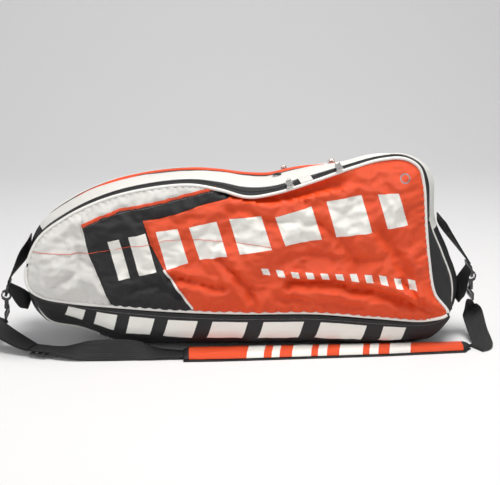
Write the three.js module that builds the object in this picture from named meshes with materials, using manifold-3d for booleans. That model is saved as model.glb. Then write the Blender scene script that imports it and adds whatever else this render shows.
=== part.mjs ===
// Racket tournament bag: two soft compartments on one centre gusset, standing on its base.
// Millimetres. +X runs along the bag to its tall end, -Y is the front, +Z is up.
// The origin is the middle of the flat base.
import * as THREE from 'three';
import Module from 'manifold-3d';

const wasm = await Module();
wasm.setup();

// ---------------------------------------------------------------- driving dimensions
const FRONT = -1;
const BACK = 1;

const PANEL_FOOT_Y = 98;        // how far the panels' lower seam stands from the middle
const PANEL_FOOT_Z = 60;
const FRONT_LEAN = 0.11;        // how much a panel leans inwards for each millimetre up
const BACK_LEAN = 0.07;
const PANEL_CROWN = 10;
const PANEL_THICKNESS = 5;      // fabric, foam and lining together
const GUSSET_HALF = 36;         // the centre gusset's seams, from the middle
const WALL = 3;
const FLOOR_CLEARANCE = 0.6;

const GAP = 0.4;                // left between neighbours that are sewn together
const EDGE_GAP = 1.7;           // between a piping and the cloth beside it
const PIPING_RADIUS = 3;
const SEAM_PIPING_RADIUS = 2.5;
const ACCENT_WIDTH = 4;
const STITCH_GAP = 0.6;

const ZIP_MIDDLE = 0.5;         // the coil's place across the zip strip
const COIL_RADIUS = 1.6;
const TAPE_THICKNESS = 1.6;
const PATCH_THICKNESS = 1.4;

const WEBBING = 38;
const WEBBING_THICKNESS = 2.4;

const BAG_MIDDLE = new THREE.Vector3(0, 0, 170);

// Stations round the bag, clockwise from the nose as the front shows it. Each gives the
// front seam [x, z], the centre gusset's seam [x, z] and how far the band between bulges.
const STATIONS = [
  { front: [-379, 149], seam: [-368, 150], bulge: 6 },      //  0 nose, the zip starts
  { front: [-357, 209], seam: [-348, 211], bulge: 4 },
  { front: [-308, 247], seam: [-300, 251], bulge: 3 },
  { front: [-243, 277], seam: [-238, 281], bulge: 3 },
  { front: [-170, 295], seam: [-166, 299], bulge: 3 },
  { front: [-90, 302], seam: [-88, 306], bulge: 3 },
  { front: [-38, 293], seam: [-36, 300], bulge: 2 },
  { front: [10, 280], seam: [8, 291], bulge: 1 },           //  7 the top sags
  { front: [58, 286], seam: [54, 292], bulge: 1 },
  { front: [119, 304], seam: [114, 308], bulge: 2 },
  { front: [193, 329], seam: [188, 329], bulge: 3 },
  { front: [245, 343], seam: [240, 342], bulge: 3 },
  { front: [286, 344], seam: [284, 345], bulge: 3 },
  { front: [311, 329], seam: [320, 327], bulge: 3 },
  { front: [320, 300], seam: [335, 298], bulge: 3 },
  { front: [325, 228], seam: [339, 226], bulge: 3 },        // 15 the zip ends
  { front: [331, 165], seam: [363, 166], bulge: 5 },
  { front: [342, 105], seam: [383, 110], bulge: 6 },
  { front: [366, 69], seam: [380, 62], bulge: 6 },          // 18 lower corner
  { front: [330, 58], seam: [346, 14], bulge: 20 },
  { front: [241, 64], seam: [250, 4], bulge: 29 },
  { front: [130, 74], seam: [130, 4], bulge: 30 },
  { front: [-5, 76], seam: [-5, 4], bulge: 30 },
  { front: [-111, 81], seam: [-111, 4], bulge: 30 },
  { front: [-216, 90], seam: [-205, 6], bulge: 26 },
  { front: [-300, 99], seam: [-288, 36], bulge: 10 },
  { front: [-350, 109], seam: [-345, 50], bulge: 4 },
  { front: [-373, 124], seam: [-366, 84], bulge: 4 },
];
const STATION_COUNT = STATIONS.length;
const ZIP_START = 0.35;
const ZIP_END = 15;
const CORNER = 18;
const BRIDGE_START = 8.78;
const BRIDGE_END = 9.1;

// Seams on the panel, as [x, z].
const NOSE_SEAM = [[-279, 290], [-279, 234], [-268, 185], [-256, 155], [-222, 78]];
const ACCENT_LINE = [[-276, 236], [-212, 261], [-145, 273], [-78, 289], [-66, 292]];
const BAND_TOP_SEAM = [[-173, 243], [-145, 245], [-112, 254], [-78, 266], [-45, 274], [20, 302]];
const SLANT_UPPER = [[-173, 243], [-160, 199], [-138, 157]];
const SLANT_LOWER = [[-138, 157], [-88, 85]];

// ---------------------------------------------------------------- colours and finishes
const fabric = (color, roughness = 0.75) =>
  new THREE.MeshStandardMaterial({ color, roughness, metalness: 0 });
const orangeNylon = () => fabric(0xee5a32, 0.55);
const whiteNylon = () => fabric(0xe8e5de, 0.6);
const blackPolyester = () => fabric(0x2b2b2e);
const blackWebbing = () => fabric(0x1f1f21, 0.85);
const whiteTrim = () => fabric(0xf0efea, 0.5);
const greyLining = () => fabric(0x6d6e72, 0.8);
const metal = (color, roughness) => new THREE.MeshStandardMaterial({ color, roughness, metalness: 1 });
const silverMetal = () => metal(0xc9c9c4, 0.35);
const darkMetal = () => metal(0x4a4a4c, 0.4);
const blackPlastic = () => fabric(0x202022, 0.45);

// ---------------------------------------------------------------- solids from points
const signedVolume = (points, triangles) => {
  let volume = 0;
  for (const [a, b, c] of triangles) {
    volume += points[a].dot(new THREE.Vector3().crossVectors(points[b], points[c])) / 6;
  }
  return volume;
};

const solid = (points, triangles) => {
  const outward = signedVolume(points, triangles) > 0;
  const geometry = new THREE.BufferGeometry();
  geometry.setFromPoints(points);
  geometry.setIndex(triangles.flatMap(([a, b, c]) => (outward ? [a, b, c] : [a, c, b])));
  geometry.computeVertexNormals();
  return geometry;
};

const toManifold = (geometry) => {
  const loose = geometry.index ? geometry.toNonIndexed() : geometry;
  const position = loose.getAttribute('position');
  const seen = new Map();
  const vertices = [];
  const triangles = [];
  for (let i = 0; i < position.count; i += 1) {
    const point = [position.getX(i), position.getY(i), position.getZ(i)];
    const key = point.map((value) => Math.round(value * 1e4)).join();
    if (!seen.has(key)) {
      seen.set(key, vertices.length / 3);
      vertices.push(...point);
    }
    triangles.push(seen.get(key));
  }
  const mesh = new wasm.Mesh({
    numProp: 3,
    vertProperties: new Float32Array(vertices),
    triVerts: new Uint32Array(triangles),
  });
  return new wasm.Manifold(mesh);
};

const toGeometry = (manifold) => {
  const mesh = manifold.getMesh();
  const geometry = new THREE.BufferGeometry();
  geometry.setAttribute('position', new THREE.BufferAttribute(new Float32Array(mesh.vertProperties), 3));
  geometry.setIndex(new THREE.BufferAttribute(new Uint32Array(mesh.triVerts), 1));
  geometry.computeVertexNormals();
  return geometry;
};

const joined = (...geometries) =>
  toGeometry(geometries.map(toManifold).reduce((whole, piece) => whole.add(piece)));

// A slab on a grid of outer points: rows run one way, columns the other.
const slab = (outer, thickness) => {
  const rows = outer.length;
  const columns = outer[0].length;
  const at = (i, j) => outer[Math.min(Math.max(i, 0), rows - 1)][Math.min(Math.max(j, 0), columns - 1)];
  const inner = outer.map((row, i) => row.map((point, j) => {
    const along = at(i + 1, j).clone().sub(at(i - 1, j));
    const across = at(i, j + 1).clone().sub(at(i, j - 1));
    const normal = along.cross(across).normalize();
    const outwards = point.clone().sub(BAG_MIDDLE);
    outwards.x *= 0.2;
    const side = normal.dot(outwards) > 0 ? 1 : -1;
    return point.clone().addScaledVector(normal, -side * thickness);
  }));
  const points = [...outer.flat(), ...inner.flat()];
  const o = (i, j) => i * columns + j;
  const n = (i, j) => rows * columns + i * columns + j;
  const triangles = [];
  const quad = (a, b, c, d) => triangles.push([a, b, c], [a, c, d]);
  for (let i = 0; i < rows - 1; i += 1) {
    for (let j = 0; j < columns - 1; j += 1) {
      quad(o(i, j), o(i + 1, j), o(i + 1, j + 1), o(i, j + 1));
      quad(n(i, j), n(i, j + 1), n(i + 1, j + 1), n(i + 1, j));
    }
    quad(o(i, 0), n(i, 0), n(i + 1, 0), o(i + 1, 0));
    quad(o(i, columns - 1), o(i + 1, columns - 1), n(i + 1, columns - 1), n(i, columns - 1));
  }
  for (let j = 0; j < columns - 1; j += 1) {
    quad(o(0, j), o(0, j + 1), n(0, j + 1), n(0, j));
    quad(o(rows - 1, j), n(rows - 1, j), n(rows - 1, j + 1), o(rows - 1, j + 1));
  }
  return solid(points, triangles);
};

const circle = (radius, sides) => {
  const shape = new THREE.Shape();
  shape.setFromPoints(Array.from({ length: sides }, (_, i) => {
    const angle = (i / sides) * Math.PI * 2;
    return new THREE.Vector2(radius * Math.cos(angle), radius * Math.sin(angle));
  }));
  return shape;
};

const tube = (points, radius, steps, sides = 6) => {
  const path = new THREE.CatmullRomCurve3(points);
  const settings = { extrudePath: path, steps, bevelEnabled: false };
  return new THREE.ExtrudeGeometry(circle(radius, sides), settings);
};

// A strap: each place has its centre and the direction that its width runs in.
const strap = (places, width, thickness = WEBBING_THICKNESS, steps = 0) => {
  const count = steps || places.length * 4;
  const centres = new THREE.CatmullRomCurve3(places.map((place) => new THREE.Vector3(...place.at)));
  const widths = new THREE.CatmullRomCurve3(places.map((place) => new THREE.Vector3(...place.wide)));
  const points = [];
  for (let i = 0; i <= count; i += 1) {
    const t = i / count;
    const centre = centres.getPoint(t);
    const wide = widths.getPoint(t);
    const forward = centres.getTangent(t);
    wide.addScaledVector(forward, -wide.dot(forward)).normalize();
    const thick = forward.clone().cross(wide);
    for (const [a, b] of [[-1, -1], [1, -1], [1, 1], [-1, 1]]) {
      points.push(centre.clone()
        .addScaledVector(wide, (a * width) / 2)
        .addScaledVector(thick, (b * thickness) / 2));
    }
  }
  const triangles = [[0, 1, 2], [0, 2, 3]];
  for (let i = 0; i < count; i += 1) {
    for (let k = 0; k < 4; k += 1) {
      const a = i * 4 + k;
      const b = i * 4 + ((k + 1) % 4);
      triangles.push([a, a + 4, b + 4], [a, b + 4, b]);
    }
  }
  const last = count * 4;
  triangles.push([last, last + 2, last + 1], [last, last + 3, last + 2]);
  return solid(points, triangles);
};

// A flat plate cut from a shape drawn in x and z, spread over y.
const plateAcrossY = (shape, thickness, bevel = 0) => {
  const geometry = new THREE.ExtrudeGeometry(shape, {
    depth: thickness - 2 * bevel,
    bevelEnabled: bevel > 0,
    bevelThickness: bevel,
    bevelSize: bevel,
    bevelOffset: -bevel,
    bevelSegments: 1,
    curveSegments: 8,
  });
  geometry.translate(0, 0, -(thickness - 2 * bevel) / 2);
  geometry.rotateX(Math.PI / 2);
  return geometry;
};

// ---------------------------------------------------------------- the bag's own curves
const smoothStep = (value, low, high) => {
  const t = Math.min(Math.max((value - low) / (high - low), 0), 1);
  return t * t * (3 - 2 * t);
};

// The back compartment's top doesn't sag, and its tall end stands lower.
const backTop = ([x, z]) => {
  const isTop = smoothStep(z, 200, 270);
  const drop = 20 * smoothStep(x, 100, 210);
  const lift = 7 * Math.exp(-(((x - 8) / 60) ** 2));
  return [x, z + isTop * (lift - drop)];
};

const frontSeamPoint = (side, [x, z]) => {
  const [px, pz] = side === BACK ? backTop([x, z]) : [x, z];
  const lean = side === BACK ? BACK_LEAN : FRONT_LEAN;
  return new THREE.Vector3(px, side * (PANEL_FOOT_Y - (pz - PANEL_FOOT_Z) * lean), pz);
};

const gussetSeamPoint = (side, [x, z]) => {
  const [px, pz] = side === BACK ? backTop([x, z]) : [x, z];
  return new THREE.Vector3(px, side * GUSSET_HALF, pz);
};

const loops = {};
for (const side of [FRONT, BACK]) {
  loops[side] = {
    front: new THREE.CatmullRomCurve3(STATIONS.map((s) => frontSeamPoint(side, s.front)), true),
    seam: new THREE.CatmullRomCurve3(STATIONS.map((s) => gussetSeamPoint(side, s.seam)), true),
  };
}
const onLoop = (curve, station) =>
  curve.getPoint(THREE.MathUtils.euclideanModulo(station / STATION_COUNT, 1));

const bulgeAt = (station) => {
  const whole = Math.floor(station);
  const here = STATIONS[THREE.MathUtils.euclideanModulo(whole, STATION_COUNT)].bulge;
  const next = STATIONS[THREE.MathUtils.euclideanModulo(whole + 1, STATION_COUNT)].bulge;
  return THREE.MathUtils.lerp(here, next, station - whole);
};

// The band between a compartment's front seam (across = 0) and gusset seam (across = 1).
const bandPoint = (side, station, across, lift = 0) => {
  const front = onLoop(loops[side].front, station);
  const seam = onLoop(loops[side].seam, station);
  const ahead = onLoop(loops[side].front, station + 0.2).sub(onLoop(loops[side].front, station - 0.2));
  const outward = ahead.cross(seam.clone().sub(front)).multiplyScalar(-side).normalize();
  const point = front.clone().lerp(seam, across);
  point.addScaledVector(outward, bulgeAt(station) * Math.sin(Math.PI * across ** 0.8) + lift);
  point.z = Math.max(point.z, FLOOR_CLEARANCE + lift);
  return point;
};

// How far across the band a distance in millimetres is, at one station.
const acrossFor = (side, station, distance) => {
  const width = onLoop(loops[side].front, station).distanceTo(onLoop(loops[side].seam, station));
  return distance / width;
};

const evenLift = (lift) => () => lift;

const bandSlab = (side, [from, to], [low, high], rows, columns, thickness, liftAt = evenLift(0)) => {
  const grid = [];
  for (let i = 0; i <= rows; i += 1) {
    const station = THREE.MathUtils.lerp(from, to, i / rows);
    const a = low(station);
    const b = high(station);
    grid.push(Array.from({ length: columns + 1 }, (_, j) =>
      bandPoint(side, station, THREE.MathUtils.lerp(a, b, j / columns), liftAt(j / columns))));
  }
  return slab(grid, thickness);
};

const frontEdge = (side) => (station) => acrossFor(side, station, PIPING_RADIUS + EDGE_GAP);
const seamEdge = (side) => (station) => 1 - acrossFor(side, station, SEAM_PIPING_RADIUS + EDGE_GAP);
const coilSide = (side, direction) => (station) =>
  ZIP_MIDDLE + direction * acrossFor(side, station, 1.1);

// ---------------------------------------------------------------- the object
const bag = new THREE.Group();
const add = (name, geometry, material) => {
  const mesh = new THREE.Mesh(geometry, material);
  mesh.name = name;
  bag.add(mesh);
  return mesh;
};

// ---------------------------------------------------------------- front and back panels
const RIM_STEPS = 3 * STATION_COUNT;
const CROWN_RINGS = [1, 0.8, 0.5];

const panelSolid = (side) => {
  const centre = frontSeamPoint(side, [-10, 185]);
  const rim = [];
  for (let i = 0; i < RIM_STEPS; i += 1) {
    const station = (i / RIM_STEPS) * STATION_COUNT;
    const point = onLoop(loops[side].front, station);
    const ahead = onLoop(loops[side].front, station + 0.1).sub(onLoop(loops[side].front, station - 0.1));
    const inward = new THREE.Vector3(ahead.z, 0, -ahead.x).normalize();
    rim.push(point.addScaledVector(inward, PIPING_RADIUS + EDGE_GAP + 0.6));
  }
  const layer = (depth) => {
    const rings = CROWN_RINGS.map((scale) => rim.map((point) => {
      const placed = centre.clone().lerp(point, scale);
      placed.y += side * (PANEL_CROWN * (1 - scale ** 2.5) - depth);
      return placed;
    }));
    const middle = centre.clone();
    middle.y += side * (PANEL_CROWN - depth);
    return [...rings.flat(), middle];
  };
  const outer = layer(-PANEL_THICKNESS / 2);
  const inner = layer(PANEL_THICKNESS / 2);
  const triangles = [];
  const half = outer.length;
  for (let i = 0; i < RIM_STEPS; i += 1) {
    const next = (i + 1) % RIM_STEPS;
    for (let ring = 0; ring < CROWN_RINGS.length - 1; ring += 1) {
      const a = ring * RIM_STEPS + i;
      const b = ring * RIM_STEPS + next;
      triangles.push([a, b, b + RIM_STEPS], [a, b + RIM_STEPS, a + RIM_STEPS]);
      triangles.push([half + a, half + b + RIM_STEPS, half + b]);
      triangles.push([half + a, half + a + RIM_STEPS, half + b + RIM_STEPS]);
    }
    const last = (CROWN_RINGS.length - 1) * RIM_STEPS;
    triangles.push([last + i, last + next, half - 1]);
    triangles.push([half + last + i, 2 * half - 1, half + last + next]);
    triangles.push([i, half + i, half + next], [i, half + next, next]);
  }
  return solid([...outer, ...inner], triangles);
};

// A thin upright cutter along a seam drawn in x and z.
const seamCutter = (line, width) => {
  const path = line.map(([x, z]) => new THREE.Vector2(x, z));
  const edge = (sign) => path.map((point, i) => {
    const before = path[Math.max(i - 1, 0)];
    const after = path[Math.min(i + 1, path.length - 1)];
    const ahead = after.clone().sub(before).normalize();
    const sideways = new THREE.Vector2(-ahead.y, ahead.x);
    return point.clone().addScaledVector(sideways, sign * (width / 2));
  });
  const shape = new THREE.Shape([...edge(1), ...edge(-1).reverse()]);
  return toManifold(plateAcrossY(shape, 4 * PANEL_FOOT_Y));
};

const panelPieces = (side) => {
  const accentCut = side === FRONT ? ACCENT_WIDTH + 5 * GAP : STITCH_GAP;
  const cutters = [
    seamCutter(NOSE_SEAM, STITCH_GAP),
    seamCutter(BAND_TOP_SEAM, STITCH_GAP),
    seamCutter(SLANT_UPPER, STITCH_GAP),
    seamCutter(SLANT_LOWER, 2 * (SEAM_PIPING_RADIUS + GAP)),
    seamCutter([...SLANT_LOWER.slice(-1), [-72, 60]], STITCH_GAP),
    seamCutter([[-282, 232], ...ACCENT_LINE, [-30, 303]], accentCut),
  ];
  const cut = cutters.reduce((panel, cutter) => panel.subtract(cutter), toManifold(panelSolid(side)));
  const pieces = cut.decompose().sort((a, b) => b.volume() - a.volume());
  const [body, band, nose, crescent] = pieces.map(toGeometry);
  return { body, band, nose, crescent };
};

// A point on the panel's middle surface, by its x and z.
const onPanel = (side, [x, z], lift = 0) => {
  const lean = side === BACK ? BACK_LEAN : FRONT_LEAN;
  const reach = Math.min(Math.hypot((x + 10) / 365, (z - 185) / 120), 1);
  const depth = PANEL_FOOT_Y - (z - PANEL_FOOT_Z) * lean + PANEL_CROWN * (1 - reach ** 2.5) + lift;
  return new THREE.Vector3(x, side * depth, z);
};

const loopTube = (curve, from, to, radius) => {
  const count = Math.ceil(Math.abs(to - from) * 3);
  const points = Array.from({ length: count + 1 }, (_, i) =>
    onLoop(curve, THREE.MathUtils.lerp(from, to, i / count)));
  for (const point of points) point.z = Math.max(point.z, radius + 0.1);
  return tube(points, radius, count);
};

const addPanel = (side, label) => {
  const { body, band, nose, crescent } = panelPieces(side);
  add(`${label}_panel_body`, body, orangeNylon());
  add(`${label}_panel_band`, band, blackPolyester());
  add(`${label}_panel_nose`, nose, whiteNylon());
  add(`${label}_panel_crescent`, crescent, whiteNylon());
  const slantEnds = SLANT_LOWER.map((place) => onPanel(side, place, 1));
  const slant = [0.03, 0.5, 0.97].map((t) => slantEnds[0].clone().lerp(slantEnds[1], t));
  add(`${label}_slant_piping`, tube(slant, SEAM_PIPING_RADIUS, 6), whiteTrim());
};

const addAccent = () => {
  const accent = ACCENT_LINE.map((place) => onPanel(FRONT, place, 1.5));
  add('front_accent_binding', tube(accent, ACCENT_WIDTH / 2, 16), orangeNylon());
};

const addPiping = (side, label) => {
  const { front, seam } = loops[side];
  add(`${label}_piping_upper`, loopTube(front, ZIP_START, CORNER - 0.05, PIPING_RADIUS), whiteTrim());
  const lower = [CORNER + 0.15, STATION_COUNT + ZIP_START - 0.1];
  add(`${label}_piping_lower`, loopTube(front, ...lower, PIPING_RADIUS), whiteTrim());
  add(`${label}_seam_piping`, loopTube(seam, -3.4, CORNER, SEAM_PIPING_RADIUS), whiteTrim());
};

// ---------------------------------------------------------------- zip strip
const ridgeEdge = (side) => (station) => (side === BACK ? 0.78 : seamEdge(side)(station));

// Each tape's edge at the middle stands up as the coil does.
const addZipStrip = (side, label) => {
  const span = [ZIP_START, ZIP_END - 0.1];
  const coilAtEnd = (t) => (t > 0.7 ? COIL_RADIUS : 0);
  const coilAtStart = (t) => (t < 0.3 ? COIL_RADIUS : 0);
  add(`${label}_zip_tape_flap`,
    bandSlab(side, span, [frontEdge(side), coilSide(side, -1)], 34, 3, TAPE_THICKNESS, coilAtEnd),
    blackPolyester());
  add(`${label}_zip_tape_bag`,
    bandSlab(side, span, [coilSide(side, 1), ridgeEdge(side)], 34, 3, TAPE_THICKNESS, coilAtStart),
    blackPolyester());
  const bridge = [BRIDGE_START, BRIDGE_END];
  const above = evenLift(COIL_RADIUS + 2 * GAP + PATCH_THICKNESS);
  const inner = (direction) => (station) =>
    ZIP_MIDDLE + direction * acrossFor(side, station, GAP / 2);
  add(`${label}_bridge_flap`,
    bandSlab(side, bridge, [frontEdge(side), inner(-1)], 2, 2, PATCH_THICKNESS, above), whiteTrim());
  add(`${label}_bridge_bag`,
    bandSlab(side, bridge, [inner(1), ridgeEdge(side)], 2, 2, PATCH_THICKNESS, above), whiteTrim());
};

// A slider over the coil and its pull, each built about its own middle. The slider's two
// legs hold a bar along the zip, and the pull's barrel turns on that bar.
const SLIDER = { length: 13, width: 9, height: 3, barHeight: 6, bar: 1.6, window: 6.4, leg: 1.5 };
const PULL = { length: 28, top: 5.6, foot: 13, thickness: 1.6, window: 5, bore: 1.4, barrel: 2.3 };
const PULL_LEAN = 1.3;         // from hanging straight down, over the piping

const polygon = (...corners) => new THREE.Shape(corners.map(([x, y]) => new THREE.Vector2(x, y)));
const polygonHole = (...corners) => new THREE.Path(corners.map(([x, y]) => new THREE.Vector2(x, y)));

const sliderSolid = () => {
  const half = SLIDER.length / 2;
  const body = plateAcrossY(
    polygon([-half, 0], [half, 0], [half - 1.5, SLIDER.height], [1.5 - half, SLIDER.height]), SLIDER.width);
  const inside = SLIDER.window / 2;
  const outside = inside + SLIDER.leg;
  const top = SLIDER.barHeight + SLIDER.bar / 2;
  const low = SLIDER.height - 0.5;
  const legs = polygon([-outside, low], [outside, low], [outside, top], [-outside, top]);
  const under = SLIDER.barHeight - SLIDER.bar / 2;
  const sill = low + 0.6;
  legs.holes.push(polygonHole([-inside, sill], [-inside, under], [inside, under], [inside, sill]));
  return joined(body, plateAcrossY(legs, SLIDER.bar));
};

const pullSolid = () => {
  const foot = -PULL.length;
  const neck = PULL.top / 2;
  const wide = PULL.foot / 2;
  const tab = polygon([-neck, -1.8], [-wide, foot], [wide, foot], [neck, -1.8]);
  const sill = foot + 2.4;
  const slot = PULL.window / 1.5;
  tab.holes.push(polygonHole([0, sill + PULL.window], [slot, sill], [-slot, sill]));
  const ring = circle(PULL.barrel, 10);
  ring.holes.push(new THREE.Path(circle(PULL.bore, 10).getPoints().slice(0, 10).reverse()));
  const barrel = new THREE.ExtrudeGeometry(ring, { depth: PULL.top, bevelEnabled: false });
  barrel.translate(0, 0, -PULL.top / 2);
  barrel.rotateY(Math.PI / 2);
  return joined(plateAcrossY(tab, PULL.thickness), barrel);
};

// Where each slider stands: its station, and how it turns so that its foot follows the strip.
const SLIDERS = { left: 8.5, right: 9.75 };

const addSliders = (side, label) => {
  for (const [end, station] of Object.entries(SLIDERS)) {
    const here = bandPoint(side, station, ZIP_MIDDLE, COIL_RADIUS + 4 * GAP);
    const behind = bandPoint(side, station - 0.15, ZIP_MIDDLE);
    const ahead = bandPoint(side, station + 0.15, ZIP_MIDDLE).sub(behind);
    const slope = -Math.atan2(ahead.z, ahead.x);
    const slider = add(`${label}_zip_slider_${end}`, sliderSolid(), silverMetal());
    slider.position.copy(here);
    slider.rotation.y = slope;
    const pull = add(`${label}_zip_pull_${end}`, pullSolid(), silverMetal());
    const barAt = new THREE.Vector3(0, 0, SLIDER.barHeight).applyEuler(slider.rotation);
    pull.position.copy(here).add(barAt);
    pull.rotation.set(side * PULL_LEAN, slope, 0, 'YXZ');
  }
};

// ---------------------------------------------------------------- bands below the zips
const addBands = (side, label) => {
  const edges = [frontEdge(side), seamEdge(side)];
  const end = [ZIP_END + 0.02, CORNER - 0.15];
  const base = [CORNER + 0.2, STATION_COUNT + ZIP_START - 0.1];
  add(`${label}_end_panel`, bandSlab(side, end, edges, 12, 3, WALL), blackPolyester());
  add(`${label}_base_band`, bandSlab(side, base, edges, 30, 5, WALL), blackPolyester());
};

// ---------------------------------------------------------------- centre gusset and divider
const GUSSET_CROWN_TOP = 5;
const GUSSET_CROWN_END = 16;
const GUSSET_CROWN_BASE = 8;
const GUSSET_COLUMNS = [0, 0.25, 0.5, 0.75, 1];
const BASE_COLUMNS = [0, 0.2, 0.8, 1];

const gussetPoint = (station, across) => {
  const front = onLoop(loops[FRONT].seam, station);
  const back = onLoop(loops[BACK].seam, station);
  const point = front.clone().lerp(back, across);
  const ahead = onLoop(loops[FRONT].seam, station + 0.2).sub(onLoop(loops[FRONT].seam, station - 0.2));
  const outward = new THREE.Vector3(-ahead.z, 0, ahead.x).normalize();
  const endwards = Math.abs(outward.x);
  const level = THREE.MathUtils.lerp(GUSSET_CROWN_TOP, GUSSET_CROWN_BASE, smoothStep(-outward.z, 0.5, 0.9));
  const crown = THREE.MathUtils.lerp(level, GUSSET_CROWN_END, endwards);
  point.addScaledVector(outward, crown * Math.sin(Math.PI * across));
  point.z = Math.max(point.z, 0);
  return point;
};

const gussetSlab = ([from, to], rows, columns = GUSSET_COLUMNS) => {
  const grid = [];
  for (let i = 0; i <= rows; i += 1) {
    const station = THREE.MathUtils.lerp(from, to, i / rows);
    const edge = acrossForGusset(station);
    grid.push(columns.map((t) => gussetPoint(station, THREE.MathUtils.lerp(edge, 1 - edge, t))));
  }
  return slab(grid, WALL);
};

const acrossForGusset = (station) => {
  const width = onLoop(loops[FRONT].seam, station).distanceTo(onLoop(loops[BACK].seam, station));
  return (SEAM_PIPING_RADIUS + EDGE_GAP) / width;
};

const WHITE_START = 1;
const WHITE_END = ZIP_END + 0.3;
const SPLIT = 0.03;
const BASE_START = 19.6;
const BASE_END = 24.4;

const addCentre = () => {
  add('centre_gusset_top', gussetSlab([WHITE_START, WHITE_END], 30), whiteNylon());
  add('centre_gusset_right', gussetSlab([WHITE_END + SPLIT, BASE_START - SPLIT], 14), blackPolyester());
  add('centre_base', gussetSlab([BASE_START, BASE_END], 14, BASE_COLUMNS), blackPolyester());
  const left = [BASE_END + SPLIT, STATION_COUNT + WHITE_START - SPLIT];
  add('centre_gusset_left', gussetSlab(left, 16), blackPolyester());
  add('centre_divider', dividerSolid(), greyLining());
};

// The divider fills the loop inside the gusset, a little short of it all round.
const DIVIDER_THICKNESS = 3;
const DIVIDER_INSET = 6;

const dividerSolid = () => {
  const outline = Array.from({ length: 72 }, (_, i) => {
    const station = (i / 72) * STATION_COUNT;
    const point = gussetPoint(station, 0.5);
    const ahead = gussetPoint(station + 0.1, 0.5).sub(gussetPoint(station - 0.1, 0.5));
    const inward = new THREE.Vector2(ahead.z, -ahead.x).normalize();
    return new THREE.Vector2(point.x, point.z).addScaledVector(inward, WALL + DIVIDER_INSET);
  });
  return plateAcrossY(new THREE.Shape(outline), DIVIDER_THICKNESS);
};

// ---------------------------------------------------------------- eyelet
const EYELET = { outer: 8, bore: 4.5, height: 2, station: 8.25 };

const addEyelet = () => {
  const ring = circle(EYELET.outer, 20);
  ring.holes.push(new THREE.Path(circle(EYELET.bore, 20).getPoints().slice(0, 20).reverse()));
  const at = gussetPoint(EYELET.station, 0.5);
  const eyelet = add('gusset_eyelet',
    new THREE.ExtrudeGeometry(ring, { depth: EYELET.height, bevelEnabled: false }), darkMetal());
  eyelet.position.copy(at).add(new THREE.Vector3(0, 0, 1.6));
  eyelet.rotation.y = -0.1;
};

// ---------------------------------------------------------------- strap ends: anchors, rings, hooks
const RING = { half: 25.5, bar: 4, thickness: 4, tilt: 0.26 };
const HOOK = { outer: 10, inner: 6.2, thickness: 6, shank: 24, barrel: 4.5, barrelTop: 18, barrelFoot: 25 };
const EYE = { half: 23, height: 13, bar: 4, thickness: 4, drop: 27 };
const ENDS = {
  right: {
    sign: 1,
    bar: [421, 0, 134],
    upper: [[363, 0, 228], [376, 0, 202]],
    lower: [[402, 0, 66], [404, 0, 84]],
  },
  left: {
    sign: -1,
    bar: [-420, 0, 110],
    upper: [[-378, 0, 198], [-393, 0, 160]],
    lower: [[-386, 0, 66], [-394, 0, 78]],
  },
};
const LEG_CLEARANCE = RING.bar / 2 + WEBBING_THICKNESS / 2 + 2;

const addAnchor = (end, { bar, upper, lower }) => {
  const [x, , z] = bar;
  const acrossBag = [0, 1, 0];
  const leg = (start, foot) => strap(
    [...start, foot].map((at) => ({ at, wide: acrossBag })), WEBBING, WEBBING_THICKNESS, 8);
  add(`${end}_anchor_upper`, leg(upper, [x, 0, z + LEG_CLEARANCE]), blackWebbing());
  add(`${end}_anchor_lower`, leg(lower, [x, 0, z - LEG_CLEARANCE]), blackWebbing());
};

const arcPoints = (radius, from, to, count) => Array.from({ length: count + 1 }, (_, i) => {
  const angle = THREE.MathUtils.lerp(from, to, i / count);
  return [radius * Math.cos(angle), radius * Math.sin(angle)];
});

// The ring hangs from its straight bar, which runs across the bag.
const ringSolid = () => {
  const outer = polygon([RING.half, RING.bar / 2], [-RING.half, RING.bar / 2],
    ...arcPoints(RING.half, Math.PI, 2 * Math.PI, 14));
  const inside = RING.half - RING.bar;
  outer.holes.push(polygonHole([inside, -RING.bar / 2],
    ...arcPoints(inside, 2 * Math.PI - 0.11, Math.PI + 0.11, 12), [-inside, -RING.bar / 2]));
  return plateAcrossY(outer, RING.thickness).rotateZ(Math.PI / 2);
};

// The hook is drawn about the middle of its bow. Its mouth, on the outer side, is shut by the gate.
const MOUTH = { from: -0.55, to: 0.75 };

const hookSolid = () => {
  const { outer, inner, shank } = HOOK;
  const bow = polygon(
    ...arcPoints(outer, MOUTH.to, 2 * Math.PI + MOUTH.from, 20),
    ...arcPoints(inner, 2 * Math.PI + MOUTH.from, MOUTH.to, 16));
  const stem = polygon([-3.5, -inner - 2], [-3.5, -shank], [3.5, -shank], [3.5, -inner - 2]);
  const barrel = new THREE.CylinderGeometry(HOOK.barrel, HOOK.barrel, HOOK.barrelFoot - HOOK.barrelTop, 14);
  barrel.rotateX(Math.PI / 2);
  barrel.translate(0, 0, -(HOOK.barrelFoot + HOOK.barrelTop) / 2);
  return joined(plateAcrossY(bow, HOOK.thickness), plateAcrossY(stem, HOOK.thickness), barrel);
};

const gateSolid = () => {
  const low = MOUTH.from + 0.08;
  const high = MOUTH.to - 0.22;
  return plateAcrossY(polygon(
    ...arcPoints(HOOK.outer - 0.6, low, high, 6),
    ...arcPoints(HOOK.inner + 0.8, high, low, 6)), HOOK.thickness - 2);
};

const eyeSolid = () => {
  const { half, height, bar } = EYE;
  const frame = polygon([-half, 0], [-half, -height], [half, -height], [half, 0]);
  frame.holes.push(polygonHole(
    [-half + bar, -bar], [half - bar, -bar], [half - bar, bar - height], [bar - half, bar - height]));
  return plateAcrossY(frame, EYE.thickness).rotateZ(Math.PI / 2);
};

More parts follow.
